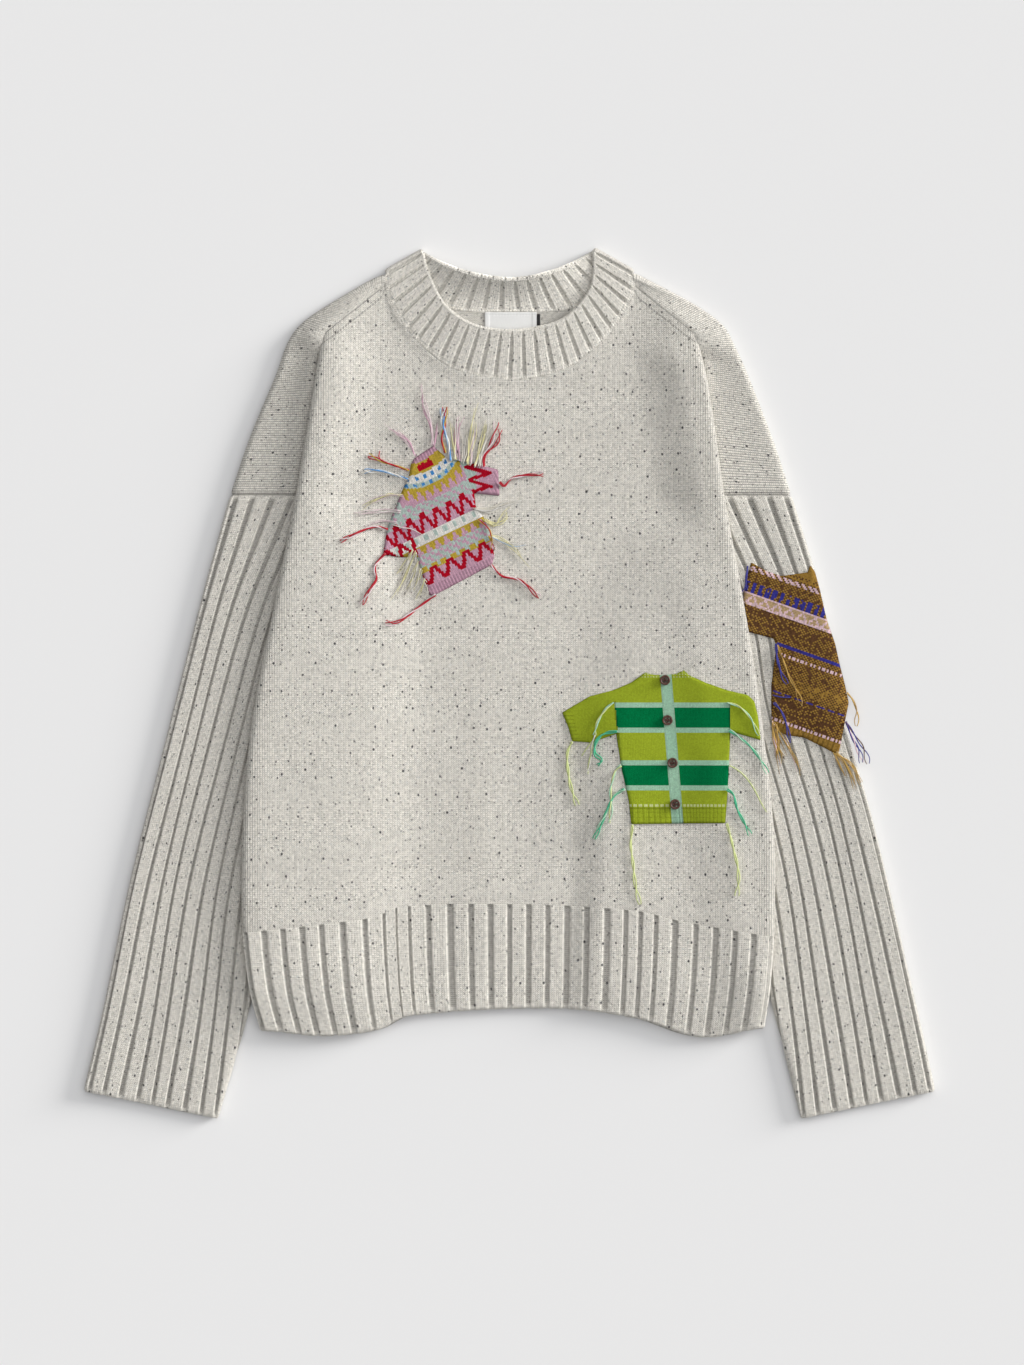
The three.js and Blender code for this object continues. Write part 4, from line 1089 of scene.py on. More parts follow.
def zip_rows(piece, numbers, knits, bakes, middles, flip):
    """Faces between rows that have the same columns about their middles, and fans at the ends."""
    corners = []
    for i in range(len(numbers) - 1):
        a, b = numbers[i], numbers[i + 1]
        ma, mb = middles[i], middles[i + 1]
        left = min(ma, mb) - 1
        right = min(len(a) - ma, len(b) - mb) - 2
        for k in range(-left, right):
            p, q, r, s = (i, ma + k), (i, ma + k + 1), (i + 1, mb + k + 1), (i + 1, mb + k)
            corners += [(p, q, r), (p, r, s)]
        for start, stop_a, stop_b, step in ((-left, 0, 0, -1), (right, len(a) - 1, len(b) - 1, 1)):
            ja, jb = ma + start, mb + start
            while ja != stop_a or jb != stop_b:
                if ja != stop_a and (jb == stop_b or abs(stop_a - ja) >= abs(stop_b - jb)):
                    tri = ((i, ja), (i, ja + step), (i + 1, jb))
                    ja += step
                else:
                    tri = ((i, ja), (i + 1, jb + step), (i + 1, jb))
                    jb += step
                corners.append(tri if step > 0 else tri[::-1])
    if flip:
        corners = [c[::-1] for c in corners]
    piece.face([[numbers[i][j] for i, j in c] for c in corners],
               [[knits[i][j] for i, j in c] for c in corners],
               [[bakes[i][j] for i, j in c] for c in corners])


def lining(piece, loops, normals, side):
    """The sleeve's plain inner side, with its walls' ends at the cuff and the armhole."""
    share = np.linspace(0, 1, 49)
    pick = np.unique(np.concatenate([[0, 2, 4], np.arange(4, len(loops) - 4, 6),
                                     [len(loops) - 5, len(loops) - 3, len(loops) - 1]]))
    inner, outer = [], []
    for i in pick:
        row = loops[i]
        base = row[8] - normals[i] * CLOTH
        inner.append(resampled(base, share))
        outer.append(resampled(row[8] + normals[i] * row[5][:, None], share))
    inner = np.array(inner)
    knit = np.stack(np.meshgrid(share * 120, np.linspace(0, 300, len(pick))), -1)
    # The inner side and its end walls are darkened by painted shade.
    piece.grid(inner, knit, (0.01, 0.88, 0.80, 0.99), flip=side < 0, tone=0.6, purl=1.0)
    for n, end in enumerate((0, -1)):
        wall = np.stack([outer[end], inner[end]])
        knit = np.stack(np.meshgrid(share * 120, [0, 2]), -1)
        rect = (0.82, 0.88 + 0.05 * n, 0.99, 0.92 + 0.05 * n)
        piece.grid(wall, knit, rect, flip=(end == 0) == (side < 0), tone=0.2)


# ---------------------------------------------------------------- neckband

BAND_FRONT_RIBS, BAND_BACK_RIBS, BAND_FOLD_RIBS = 24, 15, 1
BAND_GROOVE = 3.1
BAND_V = graded([(0,), (0.06, 3), (0.12, 2), (0.84, 6), (0.9, 2), (0.95, 2), (1, 3)])


SEWN_UNDER = 2.3  # how far the band reaches in under the body's edge


def neckband():
    piece = Piece("neckband_cloth")
    top = 2 * BAND_CLOTH + LAYER_GAP
    radius = top / 2
    v = BAND_V[:, None]
    blocks, phases = [], []

    def sewn_to_free(seam, edge, share):
        a, b = spaced(seam, share), spaced(edge, share)
        way = (b - a) / np.linalg.norm(b - a, axis=1)[:, None]
        sewn_under = SEWN_UNDER * (1 - smooth(v, 0, 0.07))[..., None]
        return a[None] + (b - a)[None] * v[..., None] - way[None] * sewn_under

    front = rib_phases(BAND_FRONT_RIBS) / BAND_FRONT_RIBS
    plan = sewn_to_free(BAND_FRONT_SEAM, BAND_FRONT_EDGE, front)
    bow = 1 - (2 * front - 1) ** 2
    z = top + BAND_CURL * v * bow
    blocks.append(np.dstack([plan, z]))
    phases.append(front * BAND_FRONT_RIBS)

    def fold(end, share, start_angle):
        a, b = np.array(BAND_FRONT_SEAM[end], float), np.array(BAND_FRONT_EDGE[end], float)
        way = (b - a) / np.linalg.norm(b - a)
        turn = -start_angle
        outward = np.array([way[0] * np.cos(turn) - way[1] * np.sin(turn),
                            way[0] * np.sin(turn) + way[1] * np.cos(turn)])
        angle = lerp(start_angle, -start_angle, share)
        plan = (a + (b - a) * v)[:, None, :] + outward * (radius * np.cos(angle))[None, :, None]
        z = np.broadcast_to(radius + radius * np.sin(angle), plan.shape[:2])
        blocks.append(np.dstack([plan, z]))

    share = rib_phases(BAND_FOLD_RIBS)[1:-1]
    fold(-1, share, np.pi / 2)
    phases.append(BAND_FRONT_RIBS + share)
    back = rib_phases(BAND_BACK_RIBS)[::-1] / BAND_BACK_RIBS
    plan = sewn_to_free(BAND_BACK_SEAM, BAND_BACK_EDGE, back)
    bow = 1 - (2 * back - 1) ** 4
    blocks.append(np.dstack([plan, BAND_STAND * v**2 * bow]))
    phases.append(BAND_FRONT_RIBS + BAND_FOLD_RIBS + BAND_BACK_RIBS * (1 - back))
    fold(0, share, -np.pi / 2)
    phases.append(BAND_FRONT_RIBS + BAND_FOLD_RIBS + BAND_BACK_RIBS + share)
    grid, phase = np.concatenate(blocks, 1), np.concatenate(phases)
    period = 12.4
    end_taper = smooth(v, 0.015, 0.07) * (1 - smooth(v, 0.88, 0.93))
    taper_width = BAND_GROOVE * (1 - 0.55 * smooth(v, 0.78, 0.92))
    height, inside, proud = groove(phase[None, :] + 0 * v, period, taper_width, 1.3, crown=0.3)
    height, inside = height * (0.08 + 0.92 * end_taper), inside * end_taper
    edge = -1.1 * smooth(v, 0.965, 1.0) + 0.45 * np.exp(-(((v - 0.945) / 0.018) ** 2))
    sewn = -0.4 * np.exp(-((v / 0.05) ** 2))
    height = height + edge + sewn
    bead = 0.12 * np.sin(phase * 2 * np.pi * 3)[None, :] * smooth(v, 0.93, 0.99)
    grid[..., 1] += bead * 2
    normal = grid_normals(grid, ringed=True)
    outer = grid + normal * height[..., None]
    inner = grid - normal * (BAND_CLOTH + height)[..., None]
    low = outer[..., 2] < 0.02
    outer[low, 2] = 0.02
    # Painted light and shade by part of the band: the folded ends darker, the back lighter but for painted
    # shadow in its corners, painted shade in the grooves and along the sewn edge, painted highlight beside
    # the grooves, and the whole band a little lighter.
    corner = 0.7 * smooth(np.abs(2 * back - 1), 0.72, 1)
    stand = np.concatenate([np.zeros(len(front)), share * 0 - 0.3, 0.22 - corner, share * 0 - 0.3])
    tone = 0.5 * inside - 0.2 * proud - 0.2 - stand + 0.1 * np.exp(-((v / 0.016) ** 2))
    total = BAND_FRONT_RIBS + BAND_BACK_RIBS + 2 * BAND_FOLD_RIBS
    wrapped = np.append(phase, total) * 6.4
    knit = np.stack(np.broadcast_arrays(wrapped[None, :], v * 44 / COURSE), -1)
    a = piece.grid(outer, knit, (0.005, 0.005, 0.995, 0.47), True, tone=tone, purl=inside)
    b = piece.grid(inner, knit, (0.005, 0.50, 0.995, 0.93), True, flip=True, tone=tone, purl=inside)
    for row, rect, flip in ((0, (0.01, 0.95, 0.99, 0.96), True), (-1, (0.01, 0.97, 0.99, 0.98), False)):
        piece.strip(np.append(a[row], a[row][0]), np.append(b[row], b[row][0]), rect, flip)
    # The linking chain that joins the band to the front, a small zigzag of loops.
    share = np.linspace(0.02, 0.98, 560)
    plan = spaced(BAND_FRONT_SEAM, share)
    across = np.gradient(plan, axis=0)
    across = np.column_stack([-across[:, 1], across[:, 0]]) / np.linalg.norm(across, axis=1)[:, None]
    swing = np.sin(np.arange(560) * np.pi / 2.5)
    plan = plan - across * (0.4 + 0.65 * swing)[:, None] * -1
    height = top - 0.9 + 0.35 * np.cos(np.arange(560) * np.pi / 2.5)
    tube(piece, np.column_stack([plan, height]), 0.5, (1, 1, 1), (0.01, 0.985, 0.99, 0.995), sides=5)
    return piece.build("wool_rib", MATERIALS["wool"])


# ---------------------------------------------------------------- tubes, plates and stitched patches


def tube(piece, line, radius, dye, rect, sides=6, taper=0.0):
    """A round strand along a line, closed at its ends."""
    line = np.asarray(line, float)
    n = len(line)
    along = np.gradient(line, axis=0)
    along /= np.maximum(np.linalg.norm(along, axis=1, keepdims=True), 1e-9)
    up = np.array([0.0, 0, 1])
    right = np.cross(along, up)
    right /= np.maximum(np.linalg.norm(right, axis=1, keepdims=True), 1e-9)
    up = np.cross(right, along)
    angle = np.arange(sides) * 2 * np.pi / sides
    share = np.linspace(0, 1, n)
    size = radius * (1 - taper * smooth(share, 0.6, 1)) * np.ones(n)
    ring = (np.cos(angle)[None, :, None] * right[:, None] + np.sin(angle)[None, :, None] * up[:, None])
    points = line[:, None] + ring * size[:, None, None]
    knit = np.stack(np.meshgrid(np.linspace(0, 1, sides + 1), lengths(line)), -1)
    colours = np.broadcast_to(np.asarray(dye, float), (n, 3))
    number = piece.grid(points, knit, rect, ringed=True, flip=True,
                        dye=np.repeat(colours[:, None], sides, 1))
    x0, y0, x1, y1 = rect
    for row, order in ((number[0], 1), (number[-1], -1)):
        fan = [(row[0], row[k], row[k + 1])[::order] for k in range(1, sides - 1)]
        flat = np.tile([[x0, y0], [x1, y0], [x0, y1]], (len(fan), 1, 1))
        piece.face(fan, flat, flat)


def inside_outline(points, outline):
    x, y = points[:, 0], points[:, 1]
    a, b = outline, np.roll(outline, -1, 0)
    found = np.zeros(len(points), bool)
    for (ax, ay), (bx, by) in zip(a, b):
        crosses = (ay > y) != (by > y)
        with np.errstate(divide="ignore", invalid="ignore"):
            at = (bx - ax) * (y - ay) / (by - ay) + ax
        found ^= crosses & (x < at)
    return found


def nearest_on(points, outline):
    """Nearest places on an outline, and how far off they are."""
    best = np.full(len(points), np.inf)
    place = np.zeros_like(points)
    for a, b in zip(outline, np.roll(outline, -1, 0)):
        d = b - a
        t = np.clip(((points - a) @ d) / (d @ d), 0, 1)
        near = a + t[:, None] * d
        off = np.linalg.norm(points - near, axis=1)
        closer = off < best
        best[closer], place[closer] = off[closer], near[closer]
    return place, best


DARN_SHIFT = (2, 0)  # added to every point of the darns' outlines and yarn paths


def patch(name, outline, origin, angle, pitch, surface, colour_at, lean=None):
    """A knitted patch made stitch by stitch: cells of its own lattice inside an outline, each in
    the colour that the chart gives for its place along and up the patch, in mm. lean pushes the
    lattice along."""
    piece = Piece(name)

    def on_floor(place):
        along = place[:, 0] + (lean(place[:, 0], place[:, 1]) if lean else 0)
        return origin + along[:, None] * ex + place[:, 1:] * ey

    outline = np.array(outline, float) + DARN_SHIFT
    outline = resampled(np.vstack([outline, outline[:1]]), np.linspace(0, 1, 400))[:-1]
    turn = np.radians(angle)
    ex, ey = np.array([np.cos(turn), np.sin(turn)]), np.array([-np.sin(turn), np.cos(turn)])
    origin = np.array(origin, float) + DARN_SHIFT
    local = np.stack([(outline - origin) @ ex, (outline - origin) @ ey], 1) / pitch
    low, high = np.floor(local.min(0)).astype(int) - 3, np.ceil(local.max(0)).astype(int) + 3
    columns, rows = high - low
    i, j = np.meshgrid(np.arange(columns), np.arange(rows), indexing="ij")
    centre = (np.stack([i, j], -1).reshape(-1, 2) + low + 0.5) * pitch
    plan = on_floor(centre)
    keep = inside_outline(plan, outline)
    i, j, centre = i.ravel()[keep], j.ravel()[keep], centre[keep]
    ci, cj = np.meshgrid(np.arange(columns + 1), np.arange(rows + 1), indexing="ij")
    count = np.zeros(ci.shape, int)
    for a, b in ((0, 0), (1, 0), (1, 1), (0, 1)):
        np.add.at(count, (i + a, j + b), 1)
    used = count > 0
    number = np.full(ci.shape, -1)
    number[used] = np.arange(used.sum())
    spot = np.stack([ci[used], cj[used]], -1)
    place = (spot + low) * np.array(pitch, float)
    plan = on_floor(place)
    rim = count[used] < 4
    near, off = nearest_on(plan, outline)
    plan[rim] = near[rim]
    off = np.where(rim, 0.0, off)
    swell = np.sqrt(np.maximum(1 - (1 - np.clip(off / 1.7, 0, 1)) ** 2, 0))
    base = surface(plan[:, 0], plan[:, 1]) + SEAM_GAP
    wave = 0.25 * np.sin(place[:, 0] / 7.3 + 1) * np.sin(place[:, 1] / 9.1)
    top = base + 0.25 + (PATCH_CLOTH - 0.25 + wave) * swell
    # Painted shade round the patch's edge and on its underside.
    tone = 0.35 * (1 - np.clip(off / 1.2, 0, 1))
    first = piece.add(np.column_stack([plan, top]), tone)
    second = piece.add(np.column_stack([plan, base]), 0.4)
    dye = colour_at(centre[:, 0], centre[:, 1], i + low[0], j + low[1])
    span = np.array([columns, rows], float)
    for start, shift, order in ((first, 0.005, 1), (second, 0.505, -1)):
        cell = [(i, j), (i + 1, j), (i + 1, j + 1), (i, j + 1)][::order]
        corners = np.stack([number[a, b] for a, b in cell], 1) + start
        knit = np.stack([np.stack([a, b], -1) for a, b in cell], 1).astype(float)
        bake = knit / span * (0.49, 0.98) + (shift, 0.01)
        piece.face(corners, knit, bake, dye)
    # The edge between the two sides.
    filled = np.zeros((columns + 2, rows + 2), bool)
    filled[i + 1, j + 1] = True
    for di, dj, a, b in ((-1, 0, (0, 1), (0, 0)), (1, 0, (1, 0), (1, 1)),
                         (0, -1, (0, 0), (1, 0)), (0, 1, (1, 1), (0, 1))):
        open_ = ~filled[i + 1 + di, j + 1 + dj]
        p, q = i[open_], j[open_]
        na, nb = number[p + a[0], q + a[1]], number[p + b[0], q + b[1]]
        corners = np.stack([second + na, second + nb, first + nb, first + na], 1)
        knit = np.stack([np.stack([p + c[0], q + c[1]], -1) for c in (a, b, b, a)], 1).astype(float)
        piece.face(corners, knit, knit / span * (0.49, 0.98) + (0.005, 0.01), dye[open_])
    return piece


def plate(piece, outline, holes, inner, top, bottom):
    """A plate with holes: top and bottom give heights for plan points."""
    loops = [np.array(outline, float)] + [np.array(h, float) for h in holes]
    points = np.concatenate(loops + [np.array(inner, float).reshape(-1, 2)])
    edges, start = [], 0
    for loop in loops:
        n = len(loop)
        edges += [(start + k, start + (k + 1) % n) for k in range(n)]
        start += n
    found = delaunay_2d_cdt([Vector(p) for p in points], edges, [], 0, 1e-6)
    plan = np.array([tuple(p) for p in found[0]])
    faces = np.array([f for f in found[2] if len(f) == 3])
    middle = plan[faces].mean(1)
    keep = inside_outline(middle, loops[0])
    for hole in loops[1:]:
        keep &= ~inside_outline(middle, hole)
    faces = faces[keep]
    turned = np.cross(plan[faces[:, 1]] - plan[faces[:, 0]], plan[faces[:, 2]] - plan[faces[:, 0]]) < 0
    faces[turned] = faces[turned][:, ::-1]
    low, high = plan.min(0), plan.max(0)
    uv = (plan - low) / (high - low).max() * 0.48 + 0.01
    z_top, tone = top(plan)
    a = piece.add(np.column_stack([plan, z_top]), tone)
    # The underside is darkened by painted shade.
    b = piece.add(np.column_stack([plan, bottom(plan)]), 0.3)
    piece.face(faces + a, plan[faces], uv[faces])
    flipped = faces[:, ::-1]
    piece.face(flipped + b, plan[flipped], uv[flipped] + (0.5, 0))
    pairs = {}
    for f in faces:
        for k in range(3):
            pairs[(f[k], f[(k + 1) % 3])] = True
    rim = np.array([e for e in pairs if (e[1], e[0]) not in pairs])
    corners = np.stack([b + rim[:, 0], b + rim[:, 1], a + rim[:, 1], a + rim[:, 0]], 1)
    ids = rim[:, [0, 1, 1, 0]]
    piece.face(corners, plan[ids], uv[ids] + (0, 0.5))


# ---------------------------------------------------------------- label and buttons


def neck_label():
    low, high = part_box("neck_label")
    x0, y0, x1, y1 = low.x / MM, low.y / MM, high.x / MM, high.y / MM
    piece = Piece("neck_label_cloth")
    x, y = np.meshgrid(np.linspace(x0, x1, 89), np.linspace(y0, y1, 47))
    edge = np.minimum(np.minimum(x - x0, x1 - x), np.minimum(y - y0, y1 - y))
    # Folded ends and a row of small stitches along the top.
    folded = 0.25 * (1 - smooth(np.minimum(x - x0, x1 - x), 3.2, 3.8))
    stitch = -0.22 * np.exp(-(((y1 - 2.2 - y) / 0.5) ** 2)) * (np.sin(x * 2.6) > -0.3)
    z = low.z / MM + 0.55 + folded + stitch - 0.3 * np.exp(-((edge / 0.35) ** 2))
    z = z + 0.35 * np.sin((x - x0) / 44 * math.pi) ** 2
    grid = np.stack([x, y, z], -1)
    knit = np.stack([x * 2.4, y * 2.4], -1)
    tone = np.zeros(x.shape)
    piece.grid(grid, knit, (0.01, 0.01, 0.99, 0.5), tone=tone)
    under = grid[::2, ::2].copy()
    under[..., 2] -= 0.4
    piece.grid(under, knit[::2, ::2], (0.01, 0.52, 0.99, 0.9), flip=True)
    return piece.build("label_cloth", MATERIALS["label"])


def label_tab():
    low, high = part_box("label_tab")
    piece = Piece("label_tab_cloth")
    x, y = np.meshgrid(np.linspace(low.x, high.x, 21) / MM, np.linspace(low.y, high.y, 33) / MM)
    across = (x - x.min()) / (x.max() - x.min())
    z = low.z / MM + 0.6 + 0.7 * np.sin(across * math.pi) ** 0.7
    grid = np.stack([x, y, z], -1)
    knit = np.stack([x * 2.4, y * 2.4], -1)
    piece.grid(grid, knit, (0.01, 0.01, 0.99, 0.5))
    under = grid.copy()
    under[..., 2] = low.z / MM + 0.2
    piece.grid(under, knit, (0.01, 0.52, 0.99, 0.99), flip=True)
    return piece.build("tab_cloth", MATERIALS["tab"])


def circle(x, y, radius, count):
    angle = np.arange(count) * 2 * np.pi / count
    return np.column_stack([x + radius * np.cos(angle), y + radius * np.sin(angle)])


HOLE_OFF = 1.27  # from a button's middle to each hole, across and along


def button(node):
    """Rim, dished middle, four holes and the thread across them, tilted as the solid is."""
    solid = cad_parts[node]
    points = np.array([v.co for v in solid.data.vertices]) / MM
    centre = points.mean(0)
    axis = np.linalg.svd(points - centre)[2][2]
    axis *= np.sign(axis[2])
    piece = Piece(node + "_turned")
    radius = 4.1
    holes = [circle(HOLE_OFF * a, HOLE_OFF * b, 0.62, 14) for a in (-1, 1) for b in (-1, 1)]
    rings = [circle(0, 0, r, n) for r, n in ((4.0, 44), (3.8, 40), (3.45, 36), (3.1, 32), (2.85, 30),
                                             (2.6, 26), (2.3, 22))]

    def top(p):
        r = np.hypot(p[:, 0], p[:, 1])
        rim = 1.05 - 0.55 * smooth(r, 3.65, 4.1) - 0.5 * (1 - smooth(r, 2.5, 3.3))
        hole = np.min([np.hypot(p[:, 0] - h[:, 0].mean(), p[:, 1] - h[:, 1].mean()) for h in holes], 0)
        # Painted shade in the dished ring and in the holes.
        tone = np.maximum(0.55 * (1 - smooth(r, 2.3, 2.9)) * smooth(r, 1.9, 2.3), 0.6 * (hole < 0.7))
        return rim, tone

    plate(piece, circle(0, 0, radius, 48), holes, np.vstack(rings), top, lambda p: np.full(len(p), -0.95))
    for a in (-1, 1):
        line = []
        for b in np.linspace(-1.3, 1.3, 13):
            bow = (1 - (b / HOLE_OFF) ** 2) ** 0.5 if abs(b) < HOLE_OFF else None
            line.append((a * HOLE_OFF, b, -0.6 if bow is None else 0.25 + 0.65 * bow))
        tube(piece, line, 0.3, (1, 1, 1), (0.55, 0.55, 0.7, 0.7), sides=6)
    right = np.cross([0, 1.0, 0], axis)
    right /= np.linalg.norm(right)
    basis = np.stack([right, np.cross(axis, right), axis])
    piece.points = [p @ basis + centre for p in piece.points]
    return piece.build("button", MATERIALS["button"])


# ---------------------------------------------------------------- the darns

PINK, PALE_PINK, MUSTARD = srgb("d9abc0"), srgb("ecd9dc"), srgb("cdb045")
RED, WHITE, PALE_GREEN, BLUE = srgb("bd1029"), srgb("f6f3ec"), srgb("c0d2ca"), srgb("4f97da")
LIME, GREEN, MINT = srgb("b0c234"), srgb("00824a"), srgb("b4e0c2")
LIME_PALE, JADE = srgb("dde7a0"), srgb("52c496")
BROWN, OLIVE, TAN, ROSE = srgb("64462e"), srgb("a8833e"), srgb("c4a77c"), srgb("ecccd4")
INK, STRAW = srgb("3d3c96"), srgb("d2ab58")
CREAM, LEMON, SKY = srgb("f2eddf"), srgb("eee8b0"), srgb("b4d0ec")


def chance(i, j, salt=0.0):
    """An even random share for each stitch, the same in every run."""
    return np.modf(np.abs(np.sin(i * 12.9898 + j * 78.233 + salt) * 43758.5453))[0]


def tooth(along, period, shift=0.0):
    """A triangle wave from 0 to 1."""
    return np.abs(np.modf(along / period + shift + 50)[0] * 2 - 1)


def share_of(along, period, shift=0.0):
    return np.modf(along / period + shift + 50)[0]


def charted(default, rules):
    """Later rules go over earlier ones."""
    dye = np.array(np.broadcast_to(default, (len(rules[0][0]), 3)), float)
    for where, colour in rules:
        dye[where] = colour
    return dye


ZIGZAG_HALF = 0.3  # half a zigzag's thickness, as a share of its height


def zigzag(s, t, low, high, period, shift=0.0):
    level = (t - low) / (high - low)
    wave = lerp(-0.1, 1.1, tooth(s, period, shift))
    return (t >= low) & (t < high) & (np.abs(level - wave) < ZIGZAG_HALF)


def fair_isle_chart(s, t, i, j):
    x, y = -66 + 0.902 * s - 0.432 * t, 70 + 0.432 * s + 0.902 * t
    t = t - 4 * smooth(t, 60, 85) * ((s - 41) / 18) ** 2

    def band(low, high):
        return (t >= low) & (t < high)

    spots = (np.floor(s / 2.6) + np.floor(t / 2.3)) % 3 == 0
    rules = [
        (band(17.5, 22), MUSTARD),
        (band(18.4, 21.4) & (share_of(s, 8.4) < 0.36), PALE_GREEN),
        (band(22, 31), PALE_GREEN), (band(22, 31) & spots, PINK),
        (band(24, 28.5) & (share_of(s, 7.8, 0.3) < 0.2), PINK),
        (band(31, 38.5) & (tooth(s, 7.8) < (t - 30) / 7.5), MUSTARD),
        (band(38.5, 46), WHITE), (band(40.8, 44.4) & (share_of(s, 8.4, 0.1) < 0.36), PALE_GREEN),
        (band(59, 68), PALE_GREEN), (band(59, 68) & spots & (chance(i, j) < 0.7), PINK),
        (band(68, 79) & (tooth(s, 6.8) < (t - 69) / 8), MUSTARD), (band(76.5, 79), MUSTARD),
        (band(79, 83), PALE_GREEN), (band(79.8, 82.4) & (share_of(s, 6.6) < 0.4), BLUE),
        (band(83, 90), WHITE), (band(85.4, 88) & (share_of(s, 6.6, 0.5) < 0.34), BLUE),
        (band(90, 99), MUSTARD), (band(91.5, 96.5) & (np.abs(s - 42) < 6.5), RED),
        (band(96.5, 98) & (np.abs(s - 42) < 5.5) & (share_of(s, 4.4) < 0.5), RED),
        (zigzag(s, t, 6.5, 20, 14.3, 0.15), RED),
        (zigzag(s, t, 46.2, 61.5, 11.7, 0.1), RED),
        (zigzag(s + 0.25 * t, t, 33, 47, 11.7, 0.4) & (s < 8), RED),
    ]
    dye = charted(PINK, rules)
    left, right = (s < 7) & (t < 70) & (t > 30), (s > 67) & (t > 42)
    out, up = (x + 33) / 24, y - 149
    dye[right] = PINK
    dye[right & (out < 0.2)] = PALE_GREEN
    dye[right & (np.abs(tooth(up, 10.5, 0.3) - (out + 0.12) / 0.75) < 0.27) & (out < 0.74)] = RED
    hem = (t < 6) | (t > 99) | (left & (t < 32)) | (right & (out > 0.8))
    dye[i % 2 == 0] *= 0.9
    # Painted shade in the ribbed edges' purl columns.
    dye[hem & (i % 2 == 0)] *= 0.75
    return dye * (0.86 + 0.26 * chance(i, j, 3.0))[:, None]


def cardigan_chart(s, t, i, j):
    left = 81.7 + (-16 - t) * 0.09
    body = (s > left) & (s < 173.2)

    def band(low, high):
        return body & (t >= low) & (t < high)

    front = 118.4
    placket = (s > front) & (s < front + 9.4)
    rules = [
        (band(-20, -15.7), MINT), (band(-35.7, -20), GREEN), (band(-39.5, -35.7), MINT),
        (band(-66.4, -62.4), MINT), (band(-81.8, -66.4), GREEN), (band(-86.1, -81.8), MINT),
        (band(-99, -97.4) & (i % 3 > 0), LIME_PALE), (placket, MINT),
        ((t > 3.5) & ~placket & (j % 2 == 0) & (i % 2 == 0), LIME_PALE),
    ]
    dye = charted(LIME, rules)
    cuff = s + 0.28 * t < 41.5
    hem = (t < -99.2) | (t > 4) & ~placket
    # Painted shade in the ribbing of the hems and cuff, and along the placket's edges.
    dye[hem & (i % 3 == 0)] *= 0.78
    dye[hem & (j % 4 == 0)] *= 0.9
    dye[cuff & (j % 3 == 0)] *= 0.8
    dye[placket & ((s - front < 1.2) | (s - front > 8.2))] *= 0.86
    dye[placket & (t < -99) & (i % 2 == 0)] *= 0.8
    # The sleeves meet the body in a crease, and the hem starts under one; both are painted darker as shade.
    crease = (np.abs(s - left) < 0.7) | (np.abs(s - 173.4) < 0.7)
    dye[crease & (t < -15) & (t > -46)] *= 0.6
    dye[(np.abs(t + 100.2) < 0.6) & ~placket] *= 0.72
    return dye * (0.88 + 0.2 * chance(i, j, 5.0))[:, None]


def placket_lean(s, t):
    """The placket runs down at a slant, and takes its columns of stitches along."""
    return 0.083 * (-0.7 - t) * np.exp(-(((s - 123) / 26) ** 2))


def striped_chart(s, t, i, j):
    pick = 0.55 * chance(i, j, 1.0) + 0.45 * ((i + j) % 2)

    def band(low, high):
        return (t >= low) & (t < high)

    mottled = np.where(band(-32, -23), 0.62, np.where(band(5, 22) | band(-57, -38), 0.3, 0.45))
    rules = [
        (pick < mottled, OLIVE), (band(52.5, 80), OLIVE), (band(53.5, 56) & (pick < 0.5), BROWN),
        (band(48.2, 52) & (share_of(s + t * 1.2, 5.2) < 0.55), ROSE),
        (band(31, 39.5) & (share_of(s, 5.9) < 0.62) & (chance(i, j // 2, 2.0) < 0.86), INK),
        (band(21.8, 30.8), TAN), (band(29.6, 30.8), ROSE), (band(21.8, 23.6), ROSE),
        (band(21.8, 30.8) & (np.abs((t - 22) / 8 - tooth(s, 10.5)) < 0.17), ROSE),
        (band(21.8, 23.6) & (pick < 0.2), TAN),
        (band(-0.6, 0.7) & (s > -1), INK),
        (band(-7.8, -5.4) & (share_of(s, 3.6) < 0.5), ROSE),
        (band(-37.6, -36.3) & (share_of(s, 9) < 0.7), INK),
        (band(-58.4, -56.9) & (share_of(s, 3.4) < 0.6), ROSE), (band(-90, -58.4), OLIVE),
        (band(57.5, 60.5) & (s > 22) & (share_of(s, 5.5) < 0.6), INK),
    ]
    dye = charted(BROWN, rules)
    # Painted shade in the lower band's rib grooves.
    dye[band(-90, -58.4) & (i % 3 == 0)] *= 0.65
    return dye * (0.78 + 0.42 * chance(i, j, 7.0))[:, None]


FAIR_ISLE_OUTLINE = [
    (-78, 179), (-63, 189), (-54, 181), (-48, 178), (-42, 177), (-31, 175), (-11, 170), (-10, 149),
    (-30, 151), (-29, 141), (-22, 131), (-16, 112), (-14, 101), (-16, 94), (-63, 69), (-66, 70),
    (-71, 84), (-77, 103), (-82, 100), (-90, 100), (-103, 102), (-100, 122), (-95, 135), (-89, 150),
    (-82, 166), (-81, 174)]
CARDIGAN_OUTLINE = [
    (106, 8), (114, 6), (123, 6), (131, 7), (137, 10), (141, 6), (154, 0), (171, -6), (188, -10),
    (193, -15), (196, -27), (198, -46), (174, -39), (172, -85), (170, -112), (95, -113), (93, -94),
    (87, -67), (83, -41), (63, -48), (48, -47), (45, -36), (40, -24), (62, -11), (81, -6), (95, 0)]
STRIPED_OUTLINE = [
    (191, 96), (203, 89), (215, 85), (222, 86), (236, 88), (238, 94), (242, 88), (246, 73), (251, 51),
    (258, 31), (262, 13), (266, -2), (269, -16), (266, -30), (262, -51), (260, -58), (249, -52),
    (233, -44), (219, -42), (211, -38), (207, -30), (207, -3), (211, 29), (209, 35), (186, 41),
    (184, 60), (186, 79)]


